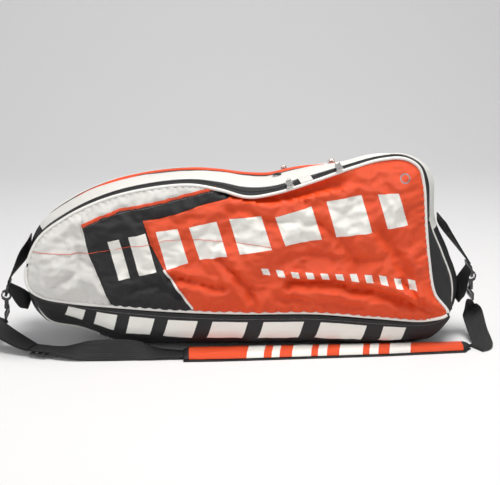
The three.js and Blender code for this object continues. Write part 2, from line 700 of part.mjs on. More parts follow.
const addEnd = (end, { sign, bar }) => {
  const ring = add(`${end}_d_ring`, ringSolid(), silverMetal());
  ring.position.set(...bar);
  ring.rotation.y = -sign * RING.tilt;
  const bow = new THREE.Vector3(0, 0, RING.bar / 2 - RING.half);
  bow.applyEuler(ring.rotation).add(ring.position);
  const turned = sign < 0 ? Math.PI : 0;
  for (const [name, geometry, metal] of [
    [`${end}_snap_hook`, hookSolid(), darkMetal()],
    [`${end}_hook_gate`, gateSolid(), silverMetal()],
    [`${end}_hook_eye`, eyeSolid().translate(0, 0, -EYE.drop), darkMetal()],
  ]) {
    const piece = add(name, geometry, metal);
    piece.position.copy(bow);
    piece.rotation.z = turned;
  }
  return bow;
};

// ---------------------------------------------------------------- shoulder strap
const PAD = {
  left: -106, right: 398, near: -137, far: -80, nearEnd: -110, farEnd: -80, tip: 412, tipY: -94,
};
const PAD_BINDING = 3;
const PAD_FOOT = { bottom: 0.6, top: 4.2 };
const PAD_COVER = { bottom: 4.7, top: 12.5 };

const padOutline = (grow) => polygon(
  [PAD.left - grow, PAD.near - grow],
  [0, PAD.near - grow + 3],
  [250, PAD.near - grow + 14],
  [PAD.right, PAD.nearEnd - grow],
  [PAD.tip + grow, PAD.tipY],
  [PAD.right, PAD.farEnd + grow],
  [PAD.left - grow, PAD.far + grow]);

const padLayer = (grow, { bottom, top }, bevel) => {
  const layer = new THREE.ExtrudeGeometry(padOutline(grow), {
    depth: top - bottom - 2 * bevel, bevelEnabled: true, bevelThickness: bevel, bevelSize: bevel,
    bevelOffset: -bevel, bevelSegments: 2,
  });
  return layer.translate(0, 0, bottom + bevel);
};

const RIGHT_RUN = [
  { at: [427, 0, 66], wide: [0, -1, 0] },
  { at: [428, -3, 54], wide: [0.4, -0.9, 0] },
  { at: [431, -16, 38], wide: [0.95, -0.3, 0] },
  { at: [434, -38, 20], wide: [1, 0, 0] },
  { at: [437, -60, 8], wide: [1, -0.1, 0] },
  { at: [435, -78, 3.6], wide: [0.85, -0.5, 0] },
  { at: [429, -89, 3.4], wide: [0.6, -0.8, 0] },
  { at: [420, -94, 3.4], wide: [0.2, -1, 0] },
];
const LEFT_RUN = [
  { at: [-112, -106, 4], wide: [0, 1, 0] },
  { at: [-150, -107, 7], wide: [0, 1, 0.2] },
  { at: [-190, -112, 15], wide: [0, 0.6, 0.7] },
  { at: [-230, -117, 18], wide: [0, 0.4, 0.9] },
  { at: [-270, -112, 16], wide: [0, 0.6, 0.7] },
  { at: [-305, -104, 13], wide: [0, 1, 0.3] },
  { at: [-334, -92, 12], wide: [0.3, 1, 0] },
  { at: [-378, -76, 12], wide: [0.3, 1, 0] },
];
const DOUBLE_RUN = [
  { at: [-374, -77.5, 12], wide: [0.3, 1, 0] },
  { at: [-402, -64, 22], wide: [0.4, 1, 0.2] },
  { at: [-434, -44, 36], wide: [0.5, 1, 0.3] },
  { at: [-452, -20, 44], wide: [0.4, 1, 0.1] },
  { at: [-436, -3, 43], wide: [0, 1, 0] },
];
const LADDER = { length: 30, width: 46, thickness: 3, rim: 4, at: [-354, -85, 7.5] };

const ladderSolid = () => {
  const box = (long, wide, x, y) =>
    new THREE.BoxGeometry(long, wide, LADDER.thickness).translate(x, y, 0);
  const end = (LADDER.length - LADDER.rim) / 2;
  const side = (LADDER.width - LADDER.rim) / 2;
  return joined(
    ...[-end, 0, end].map((x) => box(LADDER.rim, LADDER.width, x, 0)),
    ...[-side, side].map((y) => box(LADDER.length, LADDER.rim, 0, y)));
};

const addShoulderStrap = () => {
  add('strap_webbing_right', strap(RIGHT_RUN, WEBBING), blackWebbing());
  const doubled = strap(DOUBLE_RUN, WEBBING, 2 * WEBBING_THICKNESS + 0.6);
  add('strap_webbing_left', joined(strap(LEFT_RUN, WEBBING), doubled), blackWebbing());
  add('pad_backing', padLayer(PAD_BINDING, PAD_FOOT, 1), blackPolyester());
  add('pad_cover', padLayer(0, PAD_COVER, 3), orangeNylon());
  const ladder = add('strap_adjuster', ladderSolid(), blackPlastic());
  ladder.position.set(...LADDER.at);
  ladder.rotation.set(0, 0, -0.38);
};

for (const [side, label] of [[FRONT, 'front'], [BACK, 'back']]) {
  addPanel(side, label);
  addPiping(side, label);
  addZipStrip(side, label);
  addSliders(side, label);
  addBands(side, label);
}
addAccent();
addCentre();
addEyelet();
for (const [end, sizes] of Object.entries(ENDS)) {
  addAnchor(end, sizes);
  addEnd(end, sizes);
}
addShoulderStrap();

export default bag;
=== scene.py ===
# %% [markdown]
# # A racket tournament bag
# The imported model of the bag is the frame: it holds every seam, ring and hinge at its real place.
# This lesson dresses that frame in cloth, piping, zips and webbing, piece by piece, without
# moving anything. We start by loading the frame.

# %% Load the frame
import math

import bpy
import numpy as np
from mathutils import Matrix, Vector, kdtree, noise
from mathutils.geometry import delaunay_2d_cdt


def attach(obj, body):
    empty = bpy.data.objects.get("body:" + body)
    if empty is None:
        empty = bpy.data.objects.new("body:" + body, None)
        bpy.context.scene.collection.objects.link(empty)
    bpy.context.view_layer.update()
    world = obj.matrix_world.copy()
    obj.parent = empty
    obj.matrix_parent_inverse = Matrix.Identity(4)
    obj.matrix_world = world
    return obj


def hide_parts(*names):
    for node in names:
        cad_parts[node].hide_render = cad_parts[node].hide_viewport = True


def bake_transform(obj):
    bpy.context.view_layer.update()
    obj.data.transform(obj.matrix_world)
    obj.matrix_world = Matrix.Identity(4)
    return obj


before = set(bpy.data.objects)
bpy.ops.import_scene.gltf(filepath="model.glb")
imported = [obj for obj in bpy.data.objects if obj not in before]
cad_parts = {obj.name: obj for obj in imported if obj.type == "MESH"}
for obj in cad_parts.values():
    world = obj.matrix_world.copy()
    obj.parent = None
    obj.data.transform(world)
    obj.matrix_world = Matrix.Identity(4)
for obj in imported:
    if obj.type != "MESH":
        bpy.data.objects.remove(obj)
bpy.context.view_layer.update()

MM = 0.001

# %% [markdown]
# ## Camera and light
# The bag stands on a pale studio sweep and is seen from a little above, almost square on. A long
# lens keeps the two ends in proportion. A large soft light hangs above and in front, so the
# crown of the panel is bright and the hollow under the top seam falls into shade.

# %% Camera
AIM = Vector((0.018, 0.0, 0.180))
DISTANCE = 2.4
AZIMUTH = math.radians(-3)
ELEVATION = math.radians(14)

camera_data = bpy.data.cameras.new("studio_camera")
camera_data.sensor_width = 36
camera_data.lens = 36 * DISTANCE / 0.91
camera = bpy.data.objects.new("studio_camera", camera_data)
bpy.context.scene.collection.objects.link(camera)
away = Vector((math.cos(ELEVATION) * math.sin(AZIMUTH), -math.cos(ELEVATION) * math.cos(AZIMUTH),
               math.sin(ELEVATION)))
camera.location = AIM + DISTANCE * away
camera.rotation_euler = (-away).to_track_quat("-Z", "Y").to_euler()
bpy.context.scene.camera = camera
print("lens", round(camera_data.lens, 1), "mm")


# %% Lights
def soft_light(name, place, aim, size, power, colour=(1, 1, 1)):
    data = bpy.data.lights.new(name, "AREA")
    data.shape = "RECTANGLE"
    data.size, data.size_y = size
    data.energy = power
    data.color = colour
    lamp = bpy.data.objects.new(name, data)
    lamp.location = place
    lamp.rotation_euler = (Vector(aim) - Vector(place)).to_track_quat("-Z", "Y").to_euler()
    bpy.context.scene.collection.objects.link(lamp)


soft_light("top_light", (0.3, -0.35, 2.2), (0, 0, 0.1), (1.3, 0.8), 52, (1, 0.985, 0.96))
soft_light("front_light", (0.9, -2.6, 1.0), (0, 0, 0.15), (1.6, 1.2), 7)
soft_light("left_light", (-2.2, -0.9, 0.9), (0, 0, 0.15), (1.0, 1.0), 9)
soft_light("wall_light", (0, 0.5, 2.6), (0, 3.2, 1.8), (3.0, 0.6), 16)

# %% World and tone
bpy.context.scene.view_settings.view_transform = "Standard"
world = bpy.data.worlds.new("studio_air")
bpy.context.scene.world = world
world.use_nodes = True
world.node_tree.nodes["Background"].inputs["Color"].default_value = (0.93, 0.93, 0.95, 1)
world.node_tree.nodes["Background"].inputs["Strength"].default_value = 0.42

# %% [markdown]
# ## Shader maths
# Each finish is a small tree of nodes. One class wraps a socket, so that a pattern is written
# as ordinary arithmetic, and one method makes any other node with its settings and inputs.


# %% A small shader kit
class Pattern:
    def __init__(self, tree, socket):
        self.tree = tree
        self.socket = socket

    def node(self, kind, settings=None, result=0, **inputs):
        made = self.tree.nodes.new(kind)
        for name, value in (settings or {}).items():
            setattr(made, name, value)
        for name, value in inputs.items():
            self.feed(made, name.replace("_", " "), value)
        return Pattern(self.tree, made.outputs[result])

    def feed(self, made, name, value):
        numbered = name[0] == "n" and name[1:].isdigit()
        slot = made.inputs[int(name[1:]) if numbered else name]
        if isinstance(value, Pattern):
            self.tree.links.new(value.socket, slot)
        else:
            slot.default_value = value

    def maths(self, operation, other=0.0, turned=False):
        first, second = (other, self) if turned else (self, other)
        return self.node("ShaderNodeMath", {"operation": operation}, n0=first, n1=second)

    def __add__(self, other):
        return self.maths("ADD", other)

    def __sub__(self, other):
        return self.maths("SUBTRACT", other)

    def __rsub__(self, other):
        return self.maths("SUBTRACT", other, turned=True)

    def __mul__(self, other):
        return self.maths("MULTIPLY", other)

    __radd__ = __add__
    __rmul__ = __mul__

    def wave(self, per_metre):
        return (self * (2 * math.pi * per_metre)).maths("SINE")

    def blend(self, low, high):
        mixed = self.tree.nodes.new("ShaderNodeMix")
        mixed.data_type = "RGBA"
        self.tree.links.new(self.socket, mixed.inputs["Factor"])
        for socket, value in ((mixed.inputs[6], low), (mixed.inputs[7], high)):
            if isinstance(value, Pattern):
                self.tree.links.new(value.socket, socket)
            else:
                socket.default_value = value
        return Pattern(self.tree, mixed.outputs[2])


def finish_of(name, roughness, metallic=0.0, sheen=0.0, coat=0.0):
    material = bpy.data.materials.new(name)
    material.use_nodes = True
    tree = material.node_tree
    shader = tree.nodes["Principled BSDF"]
    shader.inputs["Roughness"].default_value = roughness
    shader.inputs["Metallic"].default_value = metallic
    shader.inputs["Sheen Weight"].default_value = sheen
    shader.inputs["Sheen Roughness"].default_value = 0.4
    shader.inputs["Coat Weight"].default_value = coat
    return material, tree, shader


def surface_place(tree, coordinates):
    source = tree.nodes.new("ShaderNodeTexCoord")
    return Pattern(tree, source.outputs[coordinates])


def parts_of(place):
    split = place.tree.nodes.new("ShaderNodeSeparateXYZ")
    place.tree.links.new(place.socket, split.inputs[0])
    return [Pattern(place.tree, output) for output in split.outputs]


def bumped(height, shader, strength, depth):
    bump = height.tree.nodes.new("ShaderNodeBump")
    bump.inputs["Strength"].default_value = strength
    bump.inputs["Distance"].default_value = depth
    height.tree.links.new(height.socket, bump.inputs["Height"])
    height.tree.links.new(bump.outputs[0], shader.inputs["Normal"])


# %% [markdown]
# ## Cloth finishes
# Coated nylon is a fine plain weave with a soft shine; canvas is the same with thicker threads;
# webbing shows ribs along its length. Two crossed waves make the weave, and two noises, one
# broad and one fine, keep the colour from being the same all over. The patterns read the UV map
# of each piece, which is its cloth laid flat in metres, so they stay put when a panel bends.


# %% Woven cloth
def woven(name, colour, shade, threads, roughness, sheen, depth, coordinates="UV", coat=0.0):
    material, tree, shader = finish_of(name, roughness, sheen=sheen, coat=coat)
    place = surface_place(tree, coordinates)
    across, along, up = parts_of(place)
    along = along if coordinates == "UV" else along + up
    weave = across.wave(threads) * along.wave(threads)
    blotch = place.node("ShaderNodeTexNoise", Vector=place, Scale=9.0, Detail=3.0)
    grain = place.node("ShaderNodeTexNoise", Vector=place, Scale=420.0, Detail=2.0)
    tone = blotch * 0.55 + grain * 0.3 + weave * 0.12
    tree.links.new(tone.blend((*shade, 1), (*colour, 1)).socket, shader.inputs["Base Color"])
    tree.links.new((blotch * 0.16 + (roughness - 0.08)).socket, shader.inputs["Roughness"])
    crumple = place.node("ShaderNodeTexNoise", Vector=place, Scale=38.0, Detail=4.0)
    bumped(weave * 0.3 + crumple * 3.4, shader, 0.7, depth)
    return material


ORANGE = (0.86, 0.088, 0.008)
orange_nylon = woven("orange_nylon", ORANGE, (0.70, 0.052, 0.006), 620, 0.48, 0.03, 0.0011)
white_nylon = woven("white_nylon", (0.76, 0.75, 0.71), (0.62, 0.61, 0.58), 620, 0.55, 0.1, 0.0009)
white_print = woven("white_print", (0.86, 0.85, 0.80), (0.76, 0.75, 0.70), 620, 0.5, 0.1, 0.0005)
grey_print = woven("grey_print", (0.30, 0.30, 0.31), (0.22, 0.22, 0.23), 620, 0.5, 0.1, 0.0005)
black_canvas = woven("black_canvas", (0.0125, 0.0125, 0.014), (0.006, 0.006, 0.007), 520, 0.66, 0.0, 0.0008)
lining_cloth = woven("lining_cloth", (0.13, 0.13, 0.14), (0.09, 0.09, 0.1), 700, 0.8, 0.1, 0.0004)
white_piping = woven("white_piping", (0.84, 0.83, 0.79), (0.70, 0.69, 0.65), 900, 0.38, 0.0, 0.0003, coat=0.15)
orange_binding = woven("orange_binding", ORANGE, (0.6, 0.05, 0.015), 700, 0.5, 0.2, 0.0004)


# %% Sewing thread
grey_thread = woven("grey_thread", (0.42, 0.41, 0.39), (0.30, 0.29, 0.28), 900, 0.5, 0.0, 0.0002)
dark_thread = woven("dark_thread", (0.07, 0.07, 0.075), (0.03, 0.03, 0.033), 900, 0.5, 0.0, 0.0002)


# %% Webbing
def ribbed(name, colour, ribs, roughness):
    material, tree, shader = finish_of(name, roughness)
    place = surface_place(tree, "UV")
    along, across, _ = parts_of(place)
    chevron = (along + (across.wave(90) * 0.0011)).wave(ribs)
    ridge = across.wave(260)
    tone = chevron * 0.3 + ridge * 0.15 + 0.5
    dark = tuple(c * 0.55 for c in colour)
    tree.links.new(tone.blend((*dark, 1), (*colour, 1)).socket, shader.inputs["Base Color"])
    bumped(chevron * 0.6 + ridge * 0.4, shader, 0.7, 0.0006)
    return material


black_webbing = ribbed("black_webbing", (0.013, 0.013, 0.014), 420, 0.7)


# %% Metal and plastic
def metal(name, colour, roughness):
    material, tree, shader = finish_of(name, roughness, metallic=1.0)
    place = surface_place(tree, "Object")
    stain = place.node("ShaderNodeTexNoise", Vector=place, Scale=160.0, Detail=4.0)
    scratch = place.node("ShaderNodeTexNoise", Vector=place, Scale=900.0, Detail=2.0)
    dull = tuple(c * 0.72 for c in colour)
    tree.links.new(stain.blend((*dull, 1), (*colour, 1)).socket, shader.inputs["Base Color"])
    tree.links.new((stain * 0.25 + (roughness - 0.1)).socket, shader.inputs["Roughness"])
    bumped(scratch, shader, 0.15, 0.0002)
    return material


silver_metal = metal("silver_metal", (0.78, 0.77, 0.74), 0.3)
dark_metal = metal("dark_metal", (0.09, 0.09, 0.095), 0.36)


def moulded(name, colour, roughness):
    material, tree, shader = finish_of(name, roughness)
    place = surface_place(tree, "Object")
    grain = place.node("ShaderNodeTexNoise", Vector=place, Scale=1400.0, Detail=2.0)
    worn = place.node("ShaderNodeTexNoise", Vector=place, Scale=60.0, Detail=3.0)
    light = tuple(c * 1.6 for c in colour)
    tree.links.new(worn.blend((*colour, 1), (*light, 1)).socket, shader.inputs["Base Color"])
    bumped(grain, shader, 0.3, 0.0002)
    return material


black_plastic = moulded("black_plastic", (0.018, 0.018, 0.019), 0.42)
print("finishes:", len(bpy.data.materials))

# %% [markdown]
# ## The bag's curves
# Two closed curves run round each compartment: the front seam, where the big panel meets the
# zip strip, and the gusset seam, where the compartment meets the middle of the bag. A station
# is a place along both of them, counted clockwise from the nose. All lengths are millimetres
# until a mesh is made.

# %% Stations
FRONT, BACK = -1, 1
SIDES = {"front": FRONT, "back": BACK}
FOOT_Y, FOOT_Z = 98, 60
LEAN = {FRONT: 0.11, BACK: 0.07}
GUSSET_HALF = 36
ZIP_START, ZIP_END, CORNER = 0.35, 15, 18
FRONT_SEAM = [
    (-379, 149), (-357, 209), (-308, 247), (-243, 277), (-170, 295), (-90, 302), (-38, 293),
    (10, 280), (58, 286), (119, 304), (193, 329), (245, 343), (286, 344), (311, 329),
    (320, 300), (325, 228), (331, 165), (342, 105), (366, 69), (330, 58), (241, 64),
    (130, 74), (-5, 76), (-111, 81), (-216, 90), (-300, 99), (-350, 109), (-373, 124)]
INNER_SEAM = [
    (-368, 150), (-348, 211), (-300, 251), (-238, 281), (-166, 299), (-88, 306), (-36, 300),
    (8, 291), (54, 292), (114, 308), (188, 329), (240, 342), (284, 345), (320, 327),
    (335, 298), (339, 226), (363, 166), (383, 110), (380, 62), (346, 14), (250, 4),
    (130, 4), (-5, 4), (-111, 4), (-205, 6), (-288, 36), (-345, 50), (-366, 84)]
BULGE = [6, 4, 3, 3, 3, 3, 2, 1, 1, 2, 3, 3, 3, 3, 3, 3, 5, 6, 6, 20, 29, 30, 30, 30, 26, 10, 4, 4]
STATIONS = len(FRONT_SEAM)


# %% Curves
def smooth_step(value, low, high):
    t = min(max((value - low) / (high - low), 0), 1)
    return t * t * (3 - 2 * t)


def side_place(side, x, z):
    if side == BACK:
        hump = 7 * math.exp(-(((x - 8) / 60) ** 2)) - 20 * smooth_step(x, 100, 210)
        z = z + smooth_step(z, 200, 270) * hump
    return x, z


class Loop:
    """A closed curve through its points, evened by the square root of their spacing."""

    def __init__(self, points):
        self.points = [Vector(p) for p in points]

    def at(self, station):
        count = len(self.points)
        first = math.floor(station)
        t = station - first
        p0, p1, p2, p3 = (self.points[(first + k) % count] for k in (-1, 0, 1, 2))
        d0, d1, d2 = ((b - a).length ** 0.5 for a, b in ((p0, p1), (p1, p2), (p2, p3)))
        start = ((p1 - p0) / d0 - (p2 - p0) / (d0 + d1) + (p2 - p1) / d1) * d1
        end = ((p2 - p1) / d1 - (p3 - p1) / (d1 + d2) + (p3 - p2) / d2) * d1
        curve = 3 * (p2 - p1) - 2 * start - end
        return p1 + start * t + curve * t * t + (2 * (p1 - p2) + start + end) * t ** 3


def front_place(side, x, z):
    x, z = side_place(side, x, z)
    return x, side * (FOOT_Y - (z - FOOT_Z) * LEAN[side]), z


def inner_place(side, x, z):
    x, z = side_place(side, x, z)
    return x, side * GUSSET_HALF, z


outer_loop = {side: Loop([front_place(side, *p) for p in FRONT_SEAM]) for side in (FRONT, BACK)}
inner_loop = {side: Loop([inner_place(side, *p) for p in INNER_SEAM]) for side in (FRONT, BACK)}


def band_place(side, station, across, lift=0.0):
    outer, inner = outer_loop[side].at(station), inner_loop[side].at(station)
    ahead = outer_loop[side].at(station + 0.2) - outer_loop[side].at(station - 0.2)
    outward = (ahead.cross(inner - outer) * -side).normalized()
    whole = math.floor(station)
    here, after = BULGE[whole % STATIONS], BULGE[(whole + 1) % STATIONS]
    bulge = here + (after - here) * (station - whole)
    point = outer.lerp(inner, across)
    point += outward * (bulge * math.sin(math.pi * min(max(across, 0), 1) ** 0.8) + lift)
    point.z = max(point.z, 0.6 + lift)
    return point


def gusset_place(station, across, lift=0.0):
    point = inner_loop[FRONT].at(station).lerp(inner_loop[BACK].at(station), across)
    ahead = inner_loop[FRONT].at(station + 0.2) - inner_loop[FRONT].at(station - 0.2)
    outward = Vector((-ahead.z, 0, ahead.x)).normalized()
    level = 5 + 3 * smooth_step(-outward.z, 0.5, 0.9)
    crown = level + (16 - level) * abs(outward.x)
    point += outward * (crown * math.sin(math.pi * across) + lift)
    point.z = max(point.z, lift)
    return point


def evenly(start, end, count):
    return [start + (end - start) * i / count for i in range(count + 1)]


print("curves ready; the top of the front sags to", round(outer_loop[FRONT].at(7).z), "mm")

# %% [markdown]
# ## Ways to make cloth
# A flat pattern is cut into small triangles whose edges follow its seams and its printed
# shapes, and each corner is then carried to its place on the bag. Cutting first and shaping
# later is how the real bag is made, and it leaves every printed edge sharp. The pattern's own
# metres become the UV map, so the weave keeps its scale.


# %% Meshes
def finished(name, points, faces, flat, materials, kinds=None, sharp=50):
    mesh = bpy.data.meshes.new(name)
    mesh.from_pydata([Vector(p) * MM for p in points], [], faces)
    uv = mesh.uv_layers.new(name="UVMap")
    places = np.array(flat, float)[[v for face in faces for v in face]] * MM
    uv.data.foreach_set("uv", places.astype(np.float32).ravel())
    for material in materials:
        mesh.materials.append(material)
    if kinds is not None:
        mesh.polygons.foreach_set("material_index", np.array(kinds, np.int32))
    obj = bpy.data.objects.new(name, mesh)
    bpy.context.scene.collection.objects.link(obj)
    bpy.ops.object.select_all(action="DESELECT")
    obj.select_set(True)
    bpy.context.view_layer.objects.active = obj
    bpy.ops.object.mode_set(mode="EDIT")
    bpy.ops.mesh.select_all(action="SELECT")
    bpy.ops.mesh.normals_make_consistent(inside=False)
    bpy.ops.object.mode_set(mode="OBJECT")
    bpy.ops.object.shade_smooth_by_angle(angle=math.radians(sharp))
    return obj


def inside(polygon, points):
    """Which of these points lie inside a polygon."""
    x, y = points[:, 0], points[:, 1]
    found = np.zeros(len(points), bool)
    for (x0, y0), (x1, y1) in zip(polygon, polygon[1:] + polygon[:1]):
        crosses = (y0 > y) != (y1 > y)
        reach = (x1 - x0) * (y - y0) / ((y1 - y0) or 1e-9) + x0
        found ^= crosses & (x < reach)
    return found


def cut_pattern(outline, prints, spacing):
    """Triangles that fill an outline, with the number of the last print each one lies in."""
    xs, ys = [p[0] for p in outline], [p[1] for p in outline]
    rows = np.arange(min(ys), max(ys), spacing * 0.87)
    grid = np.array([(x + (i % 2) * spacing / 2, y) for i, y in enumerate(rows)
                     for x in np.arange(min(xs), max(xs), spacing)])
    grid = grid[inside(outline, grid)]
    corners, edges = [tuple(p) for p in grid], []
    for polygon in [outline, *(polygon for polygon, _ in prints)]:
        first = len(corners)
        for (x0, y0), (x1, y1) in zip(polygon, polygon[1:] + polygon[:1]):
            steps = max(1, round(math.hypot(x1 - x0, y1 - y0) / spacing))
            corners += [(x0 + (x1 - x0) * k / steps, y0 + (y1 - y0) * k / steps) for k in range(steps)]
        last = len(corners)
        edges += [(k, k + 1 if k + 1 < last else first) for k in range(first, last)]
    flat, _, faces, *_ = delaunay_2d_cdt([Vector(c) for c in corners], edges, [], 0, 0.05)
    flat = np.array([tuple(p) for p in flat])
    faces = np.array([tuple(f) for f in faces])
    middles = flat[faces].mean(axis=1)
    kept = inside(outline, middles)
    faces, middles = faces[kept], middles[kept]
    kinds = np.zeros(len(faces), int)
    for polygon, kind in prints:
        kinds[inside(polygon, middles)] = kind
    return flat, faces, kinds


def slab_piece(name, flat, faces, kinds, top, foot, materials, sharp=50):
    """A closed piece: the pattern shaped once for its face and once for its back."""
    used = sorted(set(faces.ravel().tolist()))
    renumber = {old: new for new, old in enumerate(used)}
    faces = [[renumber[v] for v in face] for face in faces.tolist()]
    flat = [tuple(flat[v]) for v in used]
    points = [top(u, v) for u, v in flat] + [foot(u, v) for u, v in flat]
    count = len(flat)
    sides = {}
    for number, face in enumerate(faces):
        for a, b in zip(face, face[1:] + face[:1]):
            if sides.pop((b, a), None) is None:
                sides[(a, b)] = number
    rim = [([a, a + count, b + count, b], kinds[number]) for (a, b), number in sides.items()]
    every = faces + [[v + count for v in reversed(face)] for face in faces] + [r[0] for r in rim]
    lining = len(materials)
    every_kind = list(kinds) + [lining] * len(faces) + [r[1] for r in rim]
    return finished(name, points, every, flat * 2, [*materials, lining_cloth], every_kind, sharp)


def swept(name, centres, profile, wides, material, sharp=50):
    """A profile carried along a line. Each place has the direction the profile's width runs in."""
    points, flat, faces = [], [], []
    count, sides = len(centres), len(profile)
    run = 0.0
    for i, centre in enumerate(centres):
        ahead = (centres[min(i + 1, count - 1)] - centres[max(i - 1, 0)]).normalized()
        wide = (wides[i] - ahead * wides[i].dot(ahead)).normalized()
        thick = ahead.cross(wide)
        run += (centre - centres[i - 1]).length if i else 0
        rim = 0.0
        for k, (a, b) in enumerate(profile):
            rim += math.hypot(a - profile[k - 1][0], b - profile[k - 1][1]) if k else 0
            points.append(centre + wide * a + thick * b)
            flat.append((run, rim))
    for i in range(count - 1):
        for k in range(sides):
            a, b = i * sides + k, i * sides + (k + 1) % sides
            faces.append([a, b, b + sides, a + sides])
    faces.append(list(range(sides))[::-1])
    faces.append([(count - 1) * sides + k for k in range(sides)])
    return finished(name, points, faces, flat, [material], sharp=sharp)


def round_profile(radius, sides=10):
    return [(radius * math.cos(2 * math.pi * k / sides), radius * math.sin(2 * math.pi * k / sides))
            for k in range(sides)]


def strap_profile(width, thickness):
    half, edge = width / 2, thickness / 2
    across = [-half, -half * 0.96, -half * 0.5, 0, half * 0.5, half * 0.96, half]
    top = [(a, edge if abs(a) < half else 0) for a in across]
    return top + [(a, -edge) for a in reversed(across[1:-1])]


def sewn_cloth(obj):
    """Read the UV places of a sewn piece of the shell; nothing more is done with them.

    The area given is half of the shaped piece's own, never more than the cut's rectangle.
    """
    mesh = obj.data
    places = np.zeros(len(mesh.loops) * 2, np.float32)
    mesh.uv_layers["UVMap"].data.foreach_get("uv", places)
    places = places.reshape(-1, 2)


def part_of(obj, body, slot, *nodes):
    """The piece rides on a body and stands for these nodes of the frame, which it hides; the slot is not used.
    """
    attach(obj, body)
    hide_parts(*nodes)
    print(obj.name, len(obj.data.polygons), "faces")
    return obj


# %% Stitching
def stitches(name, line, outward, material, lift=0.35, length=2.6, pitch=4.4, width=0.42):
    """A row of sewn stitches: each is one small peaked bar lying along the seam."""
    xyz = np.array([tuple(p) for p in line])
    runs = np.concatenate([[0], np.cumsum(np.linalg.norm(np.diff(xyz, axis=0), axis=1))])
    points, faces, flat = [], [], []
    for run in np.arange(pitch / 2, runs[-1] - pitch / 2, pitch):
        ends = [Vector([float(np.interp(run + h, runs, xyz[:, k])) for k in range(3)])
                for h in (-length / 2, length / 2)]
        number = int(np.searchsorted(runs, run))
        out = Vector(outward[min(number, len(outward) - 1)]).normalized()
        wide = (ends[1] - ends[0]).cross(out).normalized() * width / 2
        first = len(points)
        for end in ends:
            points += [end + wide + out * lift * 0.2, end + out * lift, end - wide + out * lift * 0.2]
            flat += [(run, 0), (run, width / 2), (run, width)]
        a = first
        faces += [[a, a + 1, a + 4, a + 3], [a + 1, a + 2, a + 5, a + 4], [a + 2, a, a + 3, a + 5],
                  [a, a + 2, a + 1], [a + 3, a + 4, a + 5]]
    return finished(name, points, faces, flat, [material], sharp=60)


# %% [markdown]
# ## Panels
# The two big panels are padded nylon. A seam near the nose bounds a white patch, a white
# crescent follows the top, and a black band slants from the accent down the middle. The
# fields below push the cloth in and out: it swells away from its edge, sinks in a hollow
# under the sagging top, and is creased where the bag has been folded.

# %% Panel seams
NOSE_SEAM = [(-279, 290), (-279, 234), (-268, 185), (-256, 155), (-222, 70)]
ACCENT_LINE = [(-279, 234), (-246, 249), (-212, 261), (-145, 273), (-78, 289), (-45, 296), (-10, 300)]
BAND_TOP = [(-173, 243), (-145, 245), (-112, 254), (-78, 266), (-45, 274), (-20, 281), (12, 290)]
SLANT = [(-173, 243), (-160, 199), (-138, 157), (-88, 85), (-72, 55)]
ZONES = {"body": 0, "nose": 1, "crescent": 2, "band": 3}


def rim_of(side, inset=2.0):
    rim = []
    for station in evenly(0, STATIONS, 168)[:-1]:
        point = outer_loop[side].at(station)
        ahead = outer_loop[side].at(station + 0.1) - outer_loop[side].at(station - 0.1)
        inward = Vector((ahead.z, 0, -ahead.x)).normalized()
        rim.append(((point + inward * inset).x, (point + inward * inset).z))
    return rim


def zone_polygons(side):
    nose = [(-420, 320), *NOSE_SEAM, (-420, 40)]
    crescent = [(-279, 330), *ACCENT_LINE, (-10, 340)]
    band = [*SLANT[::-1], *BAND_TOP, (12, 330), (-10, 330), *ACCENT_LINE[::-1], *NOSE_SEAM[1:],
            (-222, 40), (-72, 40)]
    return [(band, 3), (crescent, 2), (nose, 1)]


# %% Printed shapes
NO_PRINT, WHITE_PRINT, GREY_PRINT = 0, 4, 5


def slanted(x0, x1, low, high, lean=-9.0):
    """A slanted bar between two heights given at its own middle."""
    return [(x0 - lean, low(x0)), (x1 - lean, low(x1)), (x1 + lean, high(x1)), (x0 + lean, high(x0))]


def line_through(points):
    xs, zs = [p[0] for p in points], [p[1] for p in points]
    return lambda x: float(np.interp(x, xs, zs))


mark_top = line_through([(-240, 205), (-209, 211), (-149, 223), (-106, 227), (12, 249), (75, 247),
                         (180, 281), (276, 287)])
mark_foot = line_through([(-229, 139), (-197, 144), (-134, 159), (-93, 172), (25, 188), (101, 205),
                          (180, 212), (298, 233)])
row_top = line_through([(29, 158), (101, 150), (171, 147), (242, 143), (310, 131)])
row_foot = line_through([(30, 147), (101, 138), (171, 135), (242, 127), (305, 113)])
thread_line = line_through([(-366, 190), (-317, 187), (-274, 187), (-239, 191), (-196, 198), (-158, 201),
                            (-135, 208), (-74, 209), (-22, 204), (31, 198), (66, 194)])


def ring_shape(x, z, radius, sides=24):
    return [(x + radius * math.cos(2 * math.pi * k / sides), z + radius * math.sin(2 * math.pi * k / sides))
            for k in range(sides)]


def front_prints():
    bars = [(-226, -206), (-190, -160), (-142, -104), (-84, -36), (-14, 42), (66, 130), (156, 218),
            (246, 282)]
    prints = [(slanted(x0, x1, mark_foot, mark_top), WHITE_PRINT) for x0, x1 in bars]
    prints += [(slanted(x, x + 13, row_foot, row_top, -2), WHITE_PRINT) for x in range(34, 296, 26)]
    prints += [(ring_shape(285, 312, 9), GREY_PRINT), (ring_shape(285, 312, 6.5), NO_PRINT)]
    return prints


print("printed shapes:", len(front_prints()))

